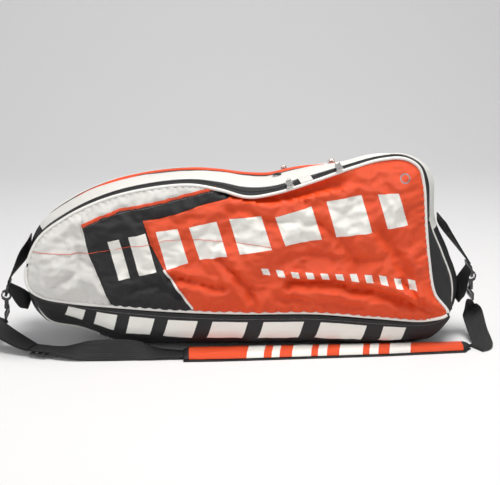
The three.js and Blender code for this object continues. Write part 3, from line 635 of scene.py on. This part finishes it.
# %% Folds
FOLDS = [
    ([(353, 61), (312, 83), (270, 100), (218, 113), (161, 126), (84, 130)], 11, 9),
    ([(364, 70), (322, 87), (301, 113), (280, 130)], 8, 6),
    ([(301, 126), (271, 180), (244, 220)], 6, 13),
    ([(312, 172), (330, 180)], 6, 8),
    ([(-123, 143), (-65, 128), (-34, 122)], 7, 7),
    ([(-40, 173), (10, 122), (22, 90)], 6, 8),
    ([(130, 240), (175, 205), (205, 160)], 4, 10),
    ([(-20, 262), (60, 238), (140, 236)], 4, 9),
    ([(-330, 130), (-290, 150), (-285, 190)], 4, 10),
    ([(-190, 120), (-150, 128), (-110, 110)], 4, 8),
    ([(60, 105), (130, 96), (210, 84)], 4, 8),
    ([(120, 180), (190, 168), (250, 170)], 3, 8),
]
RIDGE = [(-60, 285), (-40, 285), (-12, 277), (30, 270), (62, 270), (100, 277), (140, 287), (185, 296),
         (215, 306)]
ridge_height = line_through(RIDGE)


def distance_to(line, x, z):
    best = 1e9
    for (x0, z0), (x1, z1) in zip(line, line[1:]):
        dx, dz = x1 - x0, z1 - z0
        t = min(max(((x - x0) * dx + (z - z0) * dz) / (dx * dx + dz * dz), 0), 1)
        best = min(best, math.hypot(x - x0 - t * dx, z - z0 - t * dz))
    return best


def wander(x, z, scale, seed):
    return noise.noise(Vector((x / scale, z / scale * 1.7, seed)))


def fold_depth(x, z):
    total = 0.0
    for line, depth, width in FOLDS:
        away = distance_to(line, x + 4 * wander(x, z, 30, 2), z + 4 * wander(x, z, 30, 5))
        total -= depth * (0.4 * math.exp(-(away / width) ** 2) + 0.75 * math.exp(-away / (0.4 * width)))
        total += 0.45 * depth * math.exp(-((away - 1.8 * width) / width) ** 2)
    return total


def top_hollow(x, z, edge):
    """Below the sagging top the cloth turns in above a ridge and comes out again to the seam."""
    if not -60 < x < 215:
        return 0.0
    ends = smooth_step(x, -60, -10) * (1 - smooth_step(x, 150, 215))
    above = z - ridge_height(x)
    span = above + edge + 1e-6
    if above > 0:
        return -19 * ends * math.sin(math.pi * min(above / span, 1) ** 0.6)
    return 5 * ends * math.exp(above / 18)


def panel_height(side, x, z, edge):
    swell = 7 * (1 - math.exp(-edge / 14)) + 6 * (1 - math.exp(-edge / 70))
    soft = 3.4 * wander(x, z, 85, side) + 2.4 * wander(x, z, 38, side + 9)
    crumple = 3.0 * (0.5 - abs(wander(x + 0.6 * z, z - 0.3 * x, 30, side + 4))) ** 3 * 8
    crumple += 1.2 * abs(wander(x, z, 17, side + 5)) + 0.9 * wander(x, z, 11, side + 6)
    pucker = 0.6 * wander(x * 3, z * 0.6, 26, 7) * math.exp(-edge / 16)
    folds = fold_depth(x if side == FRONT else -x - 10, z)
    fade = 1 - math.exp(-edge / 9)
    height = swell + fade * (soft + crumple + folds) + pucker * (1 - math.exp(-edge / 3))
    if side == FRONT:
        height += top_hollow(x, z, edge)
    for seam in (NOSE_SEAM, ACCENT_LINE, BAND_TOP, SLANT):
        height -= 1.8 * math.exp(-(distance_to(seam, x, z) / 3.2) ** 2)
    return height


# %% [markdown]
# A sewn panel has a little more cloth than its frame needs, so it buckles into creases. To get
# that, a coarse copy of the panel is pinned at its rim, given 3.5 per cent extra cloth and left
# to settle without gravity. Only its in and out movement is kept, and added to the fields.

# %% Let spare cloth buckle
SPARE_CLOTH = 0.035
SETTLE_FRAMES = 22
BUCKLE_LIMIT = 7.5


def buckles(side, shape):
    """How far spare cloth moves in or out, as a function of place on the panel."""
    rim = rim_of(side)
    flat, faces, _ = cut_pattern(rim, [], 6.5)
    mesh = bpy.data.meshes.new("settling")
    start = [Vector((x, side * shape(x, z), z)) * MM for x, z in flat]
    mesh.from_pydata(start, [], faces.tolist())
    cloth = bpy.data.objects.new("settling", mesh)
    bpy.context.scene.collection.objects.link(cloth)
    pins = cloth.vertex_groups.new(name="rim")
    edge = np.array([np.sqrt(((np.array(rim) - p) ** 2).sum(axis=1).min()) for p in flat])
    pins.add([int(i) for i in np.nonzero(edge < 4)[0]], 1.0, "REPLACE")
    bpy.context.view_layer.objects.active = cloth
    settle = cloth.modifiers.new("settle", "CLOTH")
    settings = settle.settings
    settings.quality = 6
    settings.mass = 0.25
    settings.tension_stiffness = settings.compression_stiffness = settings.shear_stiffness = 22
    settings.bending_stiffness = 0.6
    settings.air_damping = 3
    settings.shrink_min = settings.shrink_max = -SPARE_CLOTH
    settings.vertex_group_mass = "rim"
    settings.effector_weights.gravity = 0
    settle.collision_settings.use_collision = False
    for number in range(1, SETTLE_FRAMES + 1):
        bpy.context.scene.frame_set(number)
    settled = cloth.evaluated_get(bpy.context.evaluated_depsgraph_get())
    moved = np.array([side * (v.co.y - s.y) / MM for v, s in zip(settled.data.vertices, start)])
    bpy.context.scene.frame_set(1)
    bpy.data.objects.remove(cloth)
    tree = kdtree.KDTree(len(flat))
    for i, (x, z) in enumerate(flat):
        tree.insert((x, z, 0), i)
    tree.balance()
    moved = np.clip(moved - moved.mean() * 0.6, -BUCKLE_LIMIT, BUCKLE_LIMIT)
    print("spare cloth moved", round(float(moved.min()), 1), "to", round(float(moved.max()), 1), "mm")

    def at(x, z):
        near = tree.find_n((x, z, 0), 6)
        weights = [math.exp(-(distance / 5.0) ** 2) + 1e-6 for _, _, distance in near]
        return sum(w * moved[i] for w, (_, i, _) in zip(weights, near)) / sum(weights)

    return at


# %% Build the panels
PADDING = 2.4


def foot_bend(piece):
    """Bake the piece's transform into its mesh."""
    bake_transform(piece)


def make_panel(label, side):
    rim = rim_of(side)
    rim_points = np.array(rim)
    seams = zone_polygons(side)
    prints = front_prints() if side == FRONT else []
    flat, faces, kinds = cut_pattern(rim, seams + prints, 4.2 if side == FRONT else 5.5)
    middles = flat[faces].mean(axis=1)
    zones = np.zeros(len(faces), int)
    for polygon, zone in seams:
        zones[inside(polygon, middles)] = zone
    known = {}

    def shaped(x, z):
        edge = float(np.sqrt(((rim_points - (x, z)) ** 2).sum(axis=1).min()))
        return FOOT_Y - (z - FOOT_Z) * LEAN[side] + panel_height(side, x, z, edge), edge

    spare = buckles(side, lambda x, z: shaped(x, z)[0])

    def depth_at(x, z):
        key = (round(x, 3), round(z, 3))
        if key not in known:
            depth, edge = shaped(x, z)
            known[key] = depth + spare(x, z) * (1 - math.exp(-edge / 8))
        return known[key]

    def face(x, z):
        return x, side * depth_at(x, z), z

    def lining(x, z):
        return x, side * (depth_at(x, z) - PADDING), z

    own = {1: white_nylon, 2: white_nylon, 3: black_canvas, 0: orange_nylon}
    for zone_name, zone in ZONES.items():
        chosen = zones == zone
        here = np.where(kinds[chosen] >= WHITE_PRINT, kinds[chosen] - WHITE_PRINT + 1, 0)
        piece = slab_piece(f"{label}_cloth_{zone_name}", flat, faces[chosen], here, face, lining,
                           [own[zone], white_print, grey_print], sharp=70)
        foot_bend(piece)
        sewn_cloth(piece)
        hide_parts(f"{label}_panel_{zone_name}")
        print(piece.name, len(piece.data.polygons), "faces")
    return depth_at


panel_depth = {side: make_panel(label, side) for label, side in SIDES.items()}

# %% [markdown]
# ## Accent, slant piping and long pipings
# A folded orange strip covers the seam above the black band, and white cord in a tape sleeve
# edges every compartment. Each is one profile carried along its seam, so it keeps its
# thickness round the tight corners.

# %% Piping
EDGE_RADIUS, INNER_RADIUS, SLANT_RADIUS = 3, 2.5, 2.3


def piping(name, body, points, radius, node):
    centres = [Vector(p) for p in points]
    made = swept(name, centres, round_profile(radius), [Vector((0.05, 1, 0.02))] * len(centres),
                 white_piping)
    part_of(made, body, "white_trim", node)


def on_panel(side, line, lift, steps):
    xs, zs = [p[0] for p in line], [p[1] for p in line]
    runs = np.concatenate([[0], np.cumsum(np.hypot(np.diff(xs), np.diff(zs)))])
    places = []
    for run in evenly(0, runs[-1], steps):
        x, z = float(np.interp(run, runs, xs)), float(np.interp(run, runs, zs))
        places.append((x, side * (panel_depth[side](x, z) + lift), z))
    return places


def loop_line(curve, start, end, radius):
    line = [curve.at(s) for s in evenly(start, end, round(abs(end - start) * 9))]
    for point in line:
        point.z = max(point.z, radius + 0.1)
    return line


for label, side in SIDES.items():
    outer, inner = outer_loop[side], inner_loop[side]
    upper = loop_line(outer, ZIP_START, CORNER - 0.05, EDGE_RADIUS)
    lower = loop_line(outer, CORNER + 0.1, STATIONS + ZIP_START - 0.1, EDGE_RADIUS)
    seam = loop_line(inner, -3.4, CORNER, INNER_RADIUS)
    slant = on_panel(side, SLANT[2:4], 0.8, 24)
    piping(f"{label}_edge_upper", f"{label}_flap", upper, EDGE_RADIUS, f"{label}_piping_upper")
    piping(f"{label}_edge_lower", "bag", lower, EDGE_RADIUS, f"{label}_piping_lower")
    piping(f"{label}_edge_inner", "bag", seam, INNER_RADIUS, f"{label}_seam_piping")
    piping(f"{label}_edge_slant", f"{label}_flap", slant, SLANT_RADIUS, f"{label}_slant_piping")

accent_line = on_panel(FRONT, ACCENT_LINE[:-1], 0.2, 90)
accent_profile = [(-3.2, -0.6), (3.2, -0.6), (3.2, 0.4), (1.8, 1.3), (-1.8, 1.3), (-3.2, 0.4)]
accent = swept("front_accent_strip", [Vector(p) for p in accent_line], accent_profile,
               [Vector((-0.2, 0, 1))] * len(accent_line), orange_binding)
part_of(accent, "front_flap", "orange_nylon", "front_accent_binding")

# %% Panel stitching
def beside(line, away):
    """The same seam, moved sideways."""
    moved = []
    for i, (x, z) in enumerate(line):
        (x0, z0), (x1, z1) = line[max(i - 1, 0)], line[min(i + 1, len(line) - 1)]
        size = math.hypot(x1 - x0, z1 - z0)
        moved.append((x - (z1 - z0) / size * away, z + (x1 - x0) / size * away))
    return moved


SEWN = {
    "nose": (NOSE_SEAM[1:4] + [(-230, 96)], -3.4, "grey_thread"),
    "band_top": (BAND_TOP[:6], -3.2, "dark_thread"),
    "slant": (SLANT[:3] + [(-100, 103)], 4.6, "dark_thread"),
    "accent": (ACCENT_LINE[:6], -4.4, "grey_thread"),
}
THREADS = {"grey_thread": grey_thread, "dark_thread": dark_thread}
for label, side in SIDES.items():
    for seam, (line, away, thread_name) in SEWN.items():
        run = on_panel(side, beside(line, away), 0.15, 90)
        row = stitches(f"{label}_stitch_{seam}", run, [(0, side, 0)] * len(run), THREADS[thread_name])
        foot_bend(row)
        "black_polyester" if thread_name == "dark_thread" else "white_trim"

# %% A loose thread
thread_xs = evenly(-366, 66, 150)
thread_places = on_panel(FRONT, [(x, thread_line(x)) for x in thread_xs], 0.35, 220)
thread = swept("front_loose_thread", [Vector(p) for p in thread_places], round_profile(0.45, 6),
               [Vector((0, 1, 0.1))] * len(thread_places), orange_binding)
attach(thread, "front_flap")

# %% [markdown]
# ## Zip strips
# Each strip is two tapes with a coil between them. The coil is a fine helix, as on a real
# coil zip, and lies on the edge of each tape, so the two halves part along their own line.


# %% Tapes
TAPE_THICK = 1.2
COIL_PITCH, COIL_WIRE = 2.0, 0.38


def strip(name, place, start, end, low, high, rows, columns, thickness, material, sharp=50):
    """A band of cloth between two lines, with a second skin under its face."""
    stations = evenly(start, end, rows)
    shares = evenly(0, 1, columns)
    points, flat, faces, colours = [], [], [], []
    run = 0.0
    for i, station in enumerate(stations):
        row = [Vector(place(station, low(station) + (high(station) - low(station)) * t, t)) for t in shares]
        run += (row[0] - before[0]).length if i else 0
        before = row
        rim = 0.0
        for j, point in enumerate(row):
            rim += (point - row[j - 1]).length if j else 0
            points.append(point)
            flat.append((run, rim))
    grid = np.array([tuple(p) for p in points]).reshape(rows + 1, columns + 1, 3)
    along, across = np.gradient(grid, axis=0), np.gradient(grid, axis=1)
    normal = np.cross(along, across)
    normal /= np.linalg.norm(normal, axis=2, keepdims=True) + 1e-9
    outward = grid - np.array([0, 0, 170.0])
    outward[..., 0] *= 0.2
    facing = np.sign((normal * outward).sum(axis=2, keepdims=True))
    under = (grid - normal * facing * thickness).reshape(-1, 3)
    width = columns + 1
    count = len(points)
    for i in range(rows):
        for j in range(columns):
            a = i * width + j
            quad = [a, a + 1, a + 1 + width, a + width]
            faces += [quad, [v + count for v in reversed(quad)]]
            colours += [0, 1]
    rim = [i * width for i in range(rows)] + [rows * width + j for j in range(columns)]
    rim += [i * width + columns for i in range(rows, 0, -1)] + [j for j in range(columns, 0, -1)]
    for a, b in zip(rim, rim[1:] + rim[:1]):
        faces.append([a, b, b + count, a + count])
        colours.append(0)
    return finished(name, points + [Vector(p) for p in under], faces, flat * 2,
                    [material, lining_cloth], colours, sharp)


def width_at(side, station):
    return (outer_loop[side].at(station) - inner_loop[side].at(station)).length


def front_edge(side):
    return lambda station: 2.2 / width_at(side, station)


def inner_edge(side):
    return lambda station: 1 - 1.8 / width_at(side, station)


def coil_edge(side, direction):
    return lambda station: 0.5 + direction * 1.0 / width_at(side, station)


def on_band(side, lift=0.0):
    return lambda station, across, _: band_place(side, station, across, lift)


def coil(name, side, direction, material):
    """Half a zip's coil: a helix of fine wire along its edge of the tape."""
    stations = evenly(ZIP_START + 0.05, ZIP_END - 0.15, 420)
    line = [band_place(side, s, coil_edge(side, direction)(s), 0.5) for s in stations]
    runs = np.concatenate([[0], np.cumsum([(b - a).length for a, b in zip(line, line[1:])])])
    xyz = np.array([tuple(p) for p in line])
    turns = int(runs[-1] / COIL_PITCH)
    spots = np.linspace(0, runs[-1], turns * 8 + 1)
    centres = np.stack([np.interp(spots, runs, xyz[:, k]) for k in range(3)], axis=1)
    ahead = np.gradient(centres, axis=0)
    ahead /= np.linalg.norm(ahead, axis=1, keepdims=True)
    wide = np.cross(ahead, (0, 0, 1.0))
    wide /= np.linalg.norm(wide, axis=1, keepdims=True)
    high = np.cross(wide, ahead)
    angle = spots / COIL_PITCH * 2 * math.pi
    helix = centres + wide * np.cos(angle)[:, None] * 0.95 + high * (np.sin(angle)[:, None] * 0.75 + 0.4)
    return swept(name, [Vector(p) for p in helix], round_profile(COIL_WIRE, 4),
                 [Vector(w) for w in high], material, sharp=80)


for label, side in SIDES.items():
    inner = inner_edge(side) if side == FRONT else (lambda station: 0.78)
    flap_tape = strip(f"{label}_tape_flap", on_band(side), ZIP_START, ZIP_END - 0.1, front_edge(side),
                      coil_edge(side, -0.4), 190, 6, TAPE_THICK, black_canvas)
    part_of(flap_tape, f"{label}_flap", "black_polyester", f"{label}_zip_tape_flap")
    bag_tape = strip(f"{label}_tape_bag", on_band(side), ZIP_START, ZIP_END - 0.1, coil_edge(side, 0.4),
                     inner, 190, 6, TAPE_THICK, black_canvas)
    part_of(bag_tape, "bag", "black_polyester", f"{label}_zip_tape_bag")
    for half, direction, body in (("flap", -1, f"{label}_flap"), ("bag", 1, "bag")):
        teeth = coil(f"{label}_coil_{half}", side, direction, black_plastic)
        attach(teeth, body)
    patch_low = {"flap": front_edge(side), "bag": lambda s: 0.5 + 0.2 / width_at(side, s)}
    patch_high = {"flap": lambda s: 0.5 - 0.2 / width_at(side, s), "bag": inner}
    for half in ("flap", "bag"):
        patch = strip(f"{label}_patch_{half}", on_band(side, 3.0), 8.78, 9.1, patch_low[half],
                      patch_high[half], 14, 8, TAPE_THICK, white_nylon)
        body = f"{label}_flap" if half == "flap" else "bag"
        part_of(patch, body, "white_trim", f"{label}_bridge_{half}")

# %% [markdown]
# ## Back ridge
# The back compartment stands up behind the front one as a soft orange roll between its zip
# and the middle of the bag. It is filled cloth, so it is fattest where the bag sags.


# %% Roll the ridge
def ridge_place(station, across, share):
    swell = 4.5 + 3.0 * math.exp(-((station - 8) / 3) ** 2)
    swell *= smooth_step(station, 0.5, 2.5) * (1 - smooth_step(station, 13, 14.8))
    crease = 0.8 * wander(station * 30, share * 40, 22, 3)
    point = band_place(BACK, station, across, (swell + crease) * math.sin(math.pi * share) + 0.3)
    over_top = smooth_step(station, 3, 6) * (1 - smooth_step(station, 11, 13))
    point.y -= 16 * over_top * math.sin(math.pi * share ** 2.2)
    return point


ridge = strip("back_ridge", ridge_place, 0.4, 14.9, lambda s: 0.74, inner_edge(BACK), 240, 12, 1.5,
              orange_nylon)
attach(ridge, "bag")
sewn_cloth(ridge)

# %% [markdown]
# ## Bands under the panels
# The lower band is black canvas that rolls under the bag. On the front it carries a row of
# white slanted bars, cut short by the fold where the band turns under.


# %% Lower bands
BAND_DROP = 90.0


def band_map(side):
    stations = evenly(CORNER + 0.15, STATIONS + ZIP_START - 0.1, 400)
    line = [outer_loop[side].at(s) for s in stations]
    runs = np.concatenate([[0], np.cumsum([(b - a).length for a, b in zip(line, line[1:])])])
    xs = [p.x for p in line]
    return stations, runs, xs


def make_band(label, side, blocks):
    stations, runs, xs = band_map(side)
    def run_at(x):
        chosen = [i for i, s in enumerate(stations) if s > CORNER + 0.9]
        return float(np.interp(-x, [-xs[i] for i in chosen], [runs[i] for i in chosen]))

    def place(u, v, lift=0.0):
        station = float(np.interp(u, runs, stations))
        low, high = front_edge(side)(station), inner_edge(side)(station)
        share = v / BAND_DROP
        edge = min(v, 22) / 22
        crumple = 1.6 * wander(u, v, 46, side + 20) + 0.9 * wander(u, v, 17, side + 24)
        pucker = 1.5 * wander(u * 3, v * 0.5, 30, 3) * math.exp(-v / 18)
        sag = 2.2 * math.exp(-((v - 12) / 7) ** 2)
        stop = min(edge, min(BAND_DROP - v, 14) / 14)
        across = low + (high - low) * share
        return band_place(side, station, across, (crumple + pucker - sag) * stop + lift)

    prints = [([(run_at(x), v) for x, v in block], 1) for block in blocks]
    outline = [(0, 0), (runs[-1], 0), (runs[-1], BAND_DROP), (0, BAND_DROP)]
    flat, faces, kinds = cut_pattern(outline, prints, 5.0)
    band = slab_piece(f"{label}_lower_band", flat, faces, kinds, place,
                      lambda u, v: place(u, v) + Vector((0, -side * 1.6, 1.2 if v > 20 else 0)),
                      [black_canvas, white_print], sharp=70)
    sewn_cloth(band)
    part_of(band, "bag", "black_polyester", f"{label}_base_band")
    return place


TOP, FOLD = 7, 34
BARS = [(-312, -282), (-262, -226), (-204, -160), (-136, -84), (-58, 4), (32, 104), (134, 216),
        (246, 286)]
BLOCKS = [[(x0 + 5, TOP), (x1 + 5, TOP), (x1 - 5, FOLD), (x0 - 5, FOLD)] for x0, x1 in BARS]
band_places = {side: make_band(label, side, BLOCKS if side == FRONT else [])
               for label, side in SIDES.items()}


# %% Band stitching
for label, side in SIDES.items():
    place = band_places[side]
    _, runs, _ = band_map(side)
    for row, v in (("upper", 3.6), ("lower", 86.0)):
        line = [place(u, v, 0.1) for u in evenly(2, runs[-1] - 2, 420)]
        ahead = [b - a for a, b in zip(line, line[1:] + line[-1:])]
        ahead[-1] = ahead[-2]
        under = [place(u, v + 3, 0.1) for u in evenly(2, runs[-1] - 2, 420)]
        out = [(step.cross(low - here)) * -side for step, low, here in zip(ahead, under, line)]
        sewn = stitches(f"{label}_band_stitch_{row}", line, out, grey_thread)
        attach(sewn, "bag")

# %% End panels
def end_place(side):
    def place(station, across, share):
        crumple = 1.3 * wander(station * 30, across * 60, 24, side + 30)
        return band_place(side, station, across, crumple * math.sin(math.pi * share))
    return place


for label, side in SIDES.items():
    end = strip(f"{label}_end_cloth", end_place(side), ZIP_END + 0.02, CORNER - 0.1, front_edge(side),
                inner_edge(side), 60, 14, 2.0, black_canvas, sharp=70)
    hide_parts(f"{label}_end_panel")
    sewn_cloth(end)
    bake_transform(end)

# %% [markdown]
# ## Centre gusset
# The gusset is the bag's spine: white nylon over the top, black canvas down both ends and
# under the base. It is crowned a little between its two pipings.


# %% Gusset cloth
def spine_place(seed, amount):
    def place(station, across, share):
        crumple = amount * wander(station * 34, across * 60, 26, seed)
        crumple += 0.5 * amount * abs(wander(station * 34, across * 60, 11, seed + 3))
        return gusset_place(station, across, crumple * math.sin(math.pi * share))
    return place


def spine_edge(station):
    width = (inner_loop[FRONT].at(station) - inner_loop[BACK].at(station)).length
    return 1.8 / width


def spine(name, start, end, seed, material, slot, node, rows, amount=1.6):
    made = strip(name, spine_place(seed, amount), start, end, spine_edge,
                 lambda s: 1 - spine_edge(s), rows, 16, 2.0, material, sharp=70)
    sewn_cloth(made)
    return part_of(made, "bag", slot, node)


spine("spine_top", 1, 15.3, 41, white_nylon, "white_nylon", "centre_gusset_top", 220)
spine("spine_right", 15.33, 19.57, 45, black_canvas, "black_polyester", "centre_gusset_right", 70)
spine("spine_base", 19.6, 24.4, 49, black_canvas, "black_polyester", "centre_base", 60, 0.0)
spine("spine_left", 24.43, 28.97, 53, black_canvas, "black_polyester", "centre_gusset_left", 80)

# %% [markdown]
# ## Shoulder strap
# The pad is foam in an orange cover bound with black, pointed at its right end. From each end
# webbing runs to a hook. On the left it twists once on the floor and passes the adjuster.

# %% Pad
PAD_LEFT, PAD_RIGHT = -106.0, 398.0
PAD_FAR, PAD_WIDTH = -80.0, 52.0


def pad_near(x, grow=0.0):
    return float(np.interp(x, [PAD_LEFT, 0, 250, PAD_RIGHT], [-137, -134, -123, -110])) - grow


PAD_OUTLINE = [(-105.5, 0.03), (-40, 0.0), (380, 0.0), (PAD_RIGHT, 0.0), (411, 0.46), (411, 0.54),
               (PAD_RIGHT, 1.0), (380, 1.0), (-40, 1.0), (-105.5, 0.97)]


def pad_place(x, v, foot, top, grow):
    share = v / PAD_WIDTH
    y = pad_near(x, grow) + (PAD_FAR + grow - pad_near(x, grow)) * share
    tip = smooth_step(x, 396, 414)
    y += (-94 - y) * tip * 0.7
    edge = min(share, 1 - share) * 2
    ends = min(1.0, (x + 107) / 16, (413 - x) / 16)
    round_off = (1 - (1 - min(edge * 2.4, 1)) ** 2.2) * (1 - (1 - max(ends, 0)) ** 2.2)
    wave = 0.8 * wander(x, share * 40, 34, 60) + 0.5 * wander(x, share * 40, 13, 64)
    return Vector((x, y, foot + (top - foot) * round_off + wave * round_off))


def pad_layer(name, foot, top, grow, prints, materials):
    outline = [(x, PAD_WIDTH * share) for x, share in PAD_OUTLINE]
    flat, faces, kinds = cut_pattern(outline, prints, 4.0)
    return slab_piece(name, flat, faces, kinds,
                      lambda x, v: pad_place(x, v, foot + 0.8, top, grow),
                      lambda x, v: pad_place(x, v, foot, foot, grow), materials, sharp=60)


def pad_block(x0, x1, low, high, slope=4):
    return [(x0 - slope, low), (x1 - slope, low), (x1 + slope, high), (x0 + slope, high)]


pad_prints = [(pad_block(x0, x1, -6, 44), 1) for x0, x1 in
              ((8, 38), (52, 66), (88, 122), (134, 150), (172, 214), (226, 242), (262, 300))]
pad_prints += [([(x0, -4), (x1, -4), (x1, 56), (x0, 56)], 2) for x0, x1 in ((-110, -96), (394, 416))]
pad_cloth = pad_layer("pad_cloth", 4.4, 13.0, 0.0, pad_prints, [orange_nylon, white_print, black_canvas])
part_of(pad_cloth, "bag", "orange_nylon", "pad_cover")
pad_binding = pad_layer("pad_binding", 0.5, 4.2, 2.6, [], [black_canvas])
part_of(pad_binding, "bag", "black_polyester", "pad_backing")

# %% Webbing runs
STRAP_WIDTH, STRAP_THICK = 38, 2.4
RING_GAP = 5.2
RIGHT_RUN = [
    ((427, 0, 66), (0, -1, 0)), ((428, -3, 54), (0.4, -0.9, 0)), ((431, -16, 38), (0.95, -0.3, 0)),
    ((434, -38, 20), (1, 0, 0)), ((437, -60, 8), (1, -0.1, 0)), ((435, -78, 3.6), (0.85, -0.5, 0)),
    ((429, -89, 3.4), (0.6, -0.8, 0)), ((420, -94, 3.4), (0.2, -1, 0))]
LEFT_RUN = [
    ((-103, -106, 4.3), (0, 1, 0)), ((-150, -107, 7), (0, 1, 0.2)), ((-190, -112, 15), (0, 0.6, 0.7)),
    ((-230, -117, 18), (0, 0.4, 0.9)), ((-270, -112, 16), (0, 0.6, 0.7)), ((-305, -104, 13), (0, 1, 0.3)),
    ((-334, -92, 12), (0.3, 1, 0)), ((-378, -76, 12), (0.3, 1, 0))]
DOUBLE_RUN = [
    ((-374, -77.5, 12), (0.3, 1, 0)), ((-402, -64, 22), (0.4, 1, 0.2)), ((-434, -44, 36), (0.5, 1, 0.3)),
    ((-452, -20, 44), (0.4, 1, 0.1)), ((-436, -3, 43), (0, 1, 0))]
ENDS = {
    "right": ((421, 0, 134), [(363, 0, 228), (376, 0, 202)], [(402, 0, 66), (404, 0, 84)]),
    "left": ((-420, 0, 110), [(-378, 0, 198), (-393, 0, 160)], [(-386, 0, 66), (-394, 0, 78)]),
}


def even_curve(points, steps):
    """A smooth open curve through points, at even parameter steps."""
    ends = [points[0] * 2 - points[1], *points, points[-1] * 2 - points[-2]]
    line = []
    for t in evenly(0, len(points) - 1, steps):
        i = min(int(t), len(points) - 2)
        f = t - i
        p0, p1, p2, p3 = ends[i:i + 4]
        start, end = (p2 - p0) / 2, (p3 - p1) / 2
        line.append(p1 + start * f + (3 * (p2 - p1) - 2 * start - end) * f * f
                    + (2 * (p1 - p2) + start + end) * f ** 3)
    return line


def webbing(name, run, steps=90):
    centres = even_curve([Vector(at) for at, _ in run], steps)
    wides = even_curve([Vector(wide) for _, wide in run], steps)
    profile = strap_profile(STRAP_WIDTH, STRAP_THICK)
    return swept(name, centres, profile, wides, black_webbing, sharp=40)


part_of(webbing("webbing_right", RIGHT_RUN), "bag", "black_webbing", "strap_webbing_right")
part_of(webbing("webbing_left", LEFT_RUN, steps=140), "bag", "black_webbing", "strap_webbing_left")
for name, shift in (("webbing_left_upper", 1.5), ("webbing_left_lower", -1.5)):
    run = [(Vector(at) + Vector((-0.3, 0, 1)) * shift, wide) for at, wide in DOUBLE_RUN]
    doubled = webbing(name, run, steps=70)
    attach(doubled, "bag")

for end, (bar, upper, lower) in ENDS.items():
    x, _, z = bar
    for place, run, stop in (("upper", upper, z + RING_GAP), ("lower", lower, z - RING_GAP)):
        lean = 0.55 if end == "left" else -0.45
        wides = [(0, 1, 0), (lean, 0.75, 0.3), (0, 1, 0)]
        line = [(at, wide) for at, wide in zip([*run, (x, 0, stop)], wides)]
        part_of(webbing(f"{end}_tab_{place}", line, steps=30), "bag", "black_webbing", f"{end}_anchor_{place}")

# %% [markdown]
# ## Metal and hard parts
# The rings, hooks, sliders and pulls are small castings, so the frame's own solids serve and
# only need a real finish: bright metal on the zips, dark metal on the rings and hooks.

# %% Finish the hard parts
HARD = {
    "silver_metal": ("zip_slider", "zip_pull"),
    "dark_metal": ("d_ring", "snap_hook", "hook_gate", "hook_eye", "gusset_eyelet"),
    "black_plastic": ("strap_adjuster",),
    "grey_lining": ("centre_divider",),
}
FINISHES = {"silver_metal": silver_metal, "dark_metal": dark_metal, "black_plastic": black_plastic,
            "grey_lining": lining_cloth}
for name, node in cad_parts.items():
    for slot, words in HARD.items():
        if any(word in name for word in words):
            node.data.materials.clear()
            node.data.materials.append(FINISHES[slot])

# %% [markdown]
# ## Floor
# The bag stands on a pale sweep that rises far behind it, so no edge of the floor shows.

# %% Floor
floor_cloth, _, floor_shader = finish_of("studio_floor", 0.62)
floor_shader.inputs["Base Color"].default_value = (0.74, 0.74, 0.745, 1)
REACH, RISE, BEND = 7.0, 3.2, 1.6
sweep = [(-REACH, 0), (RISE - BEND, 0)]
sweep += [(RISE - BEND + BEND * math.sin(t), BEND - BEND * math.cos(t)) for t in evenly(0.1, math.pi / 2, 16)]
sweep += [(RISE, REACH)]
bpy.ops.mesh.primitive_grid_add(x_subdivisions=2, y_subdivisions=len(sweep) - 1, size=2)
floor = bpy.context.active_object
floor.name = "studio_floor"
for vertex in floor.data.vertices:
    row = round((vertex.co.y + 1) / 2 * (len(sweep) - 1))
    vertex.co = (vertex.co.x * REACH, *sweep[row])
floor.data.materials.append(floor_cloth)
bpy.ops.object.select_all(action="DESELECT")
floor.select_set(True)
bpy.ops.object.shade_smooth()
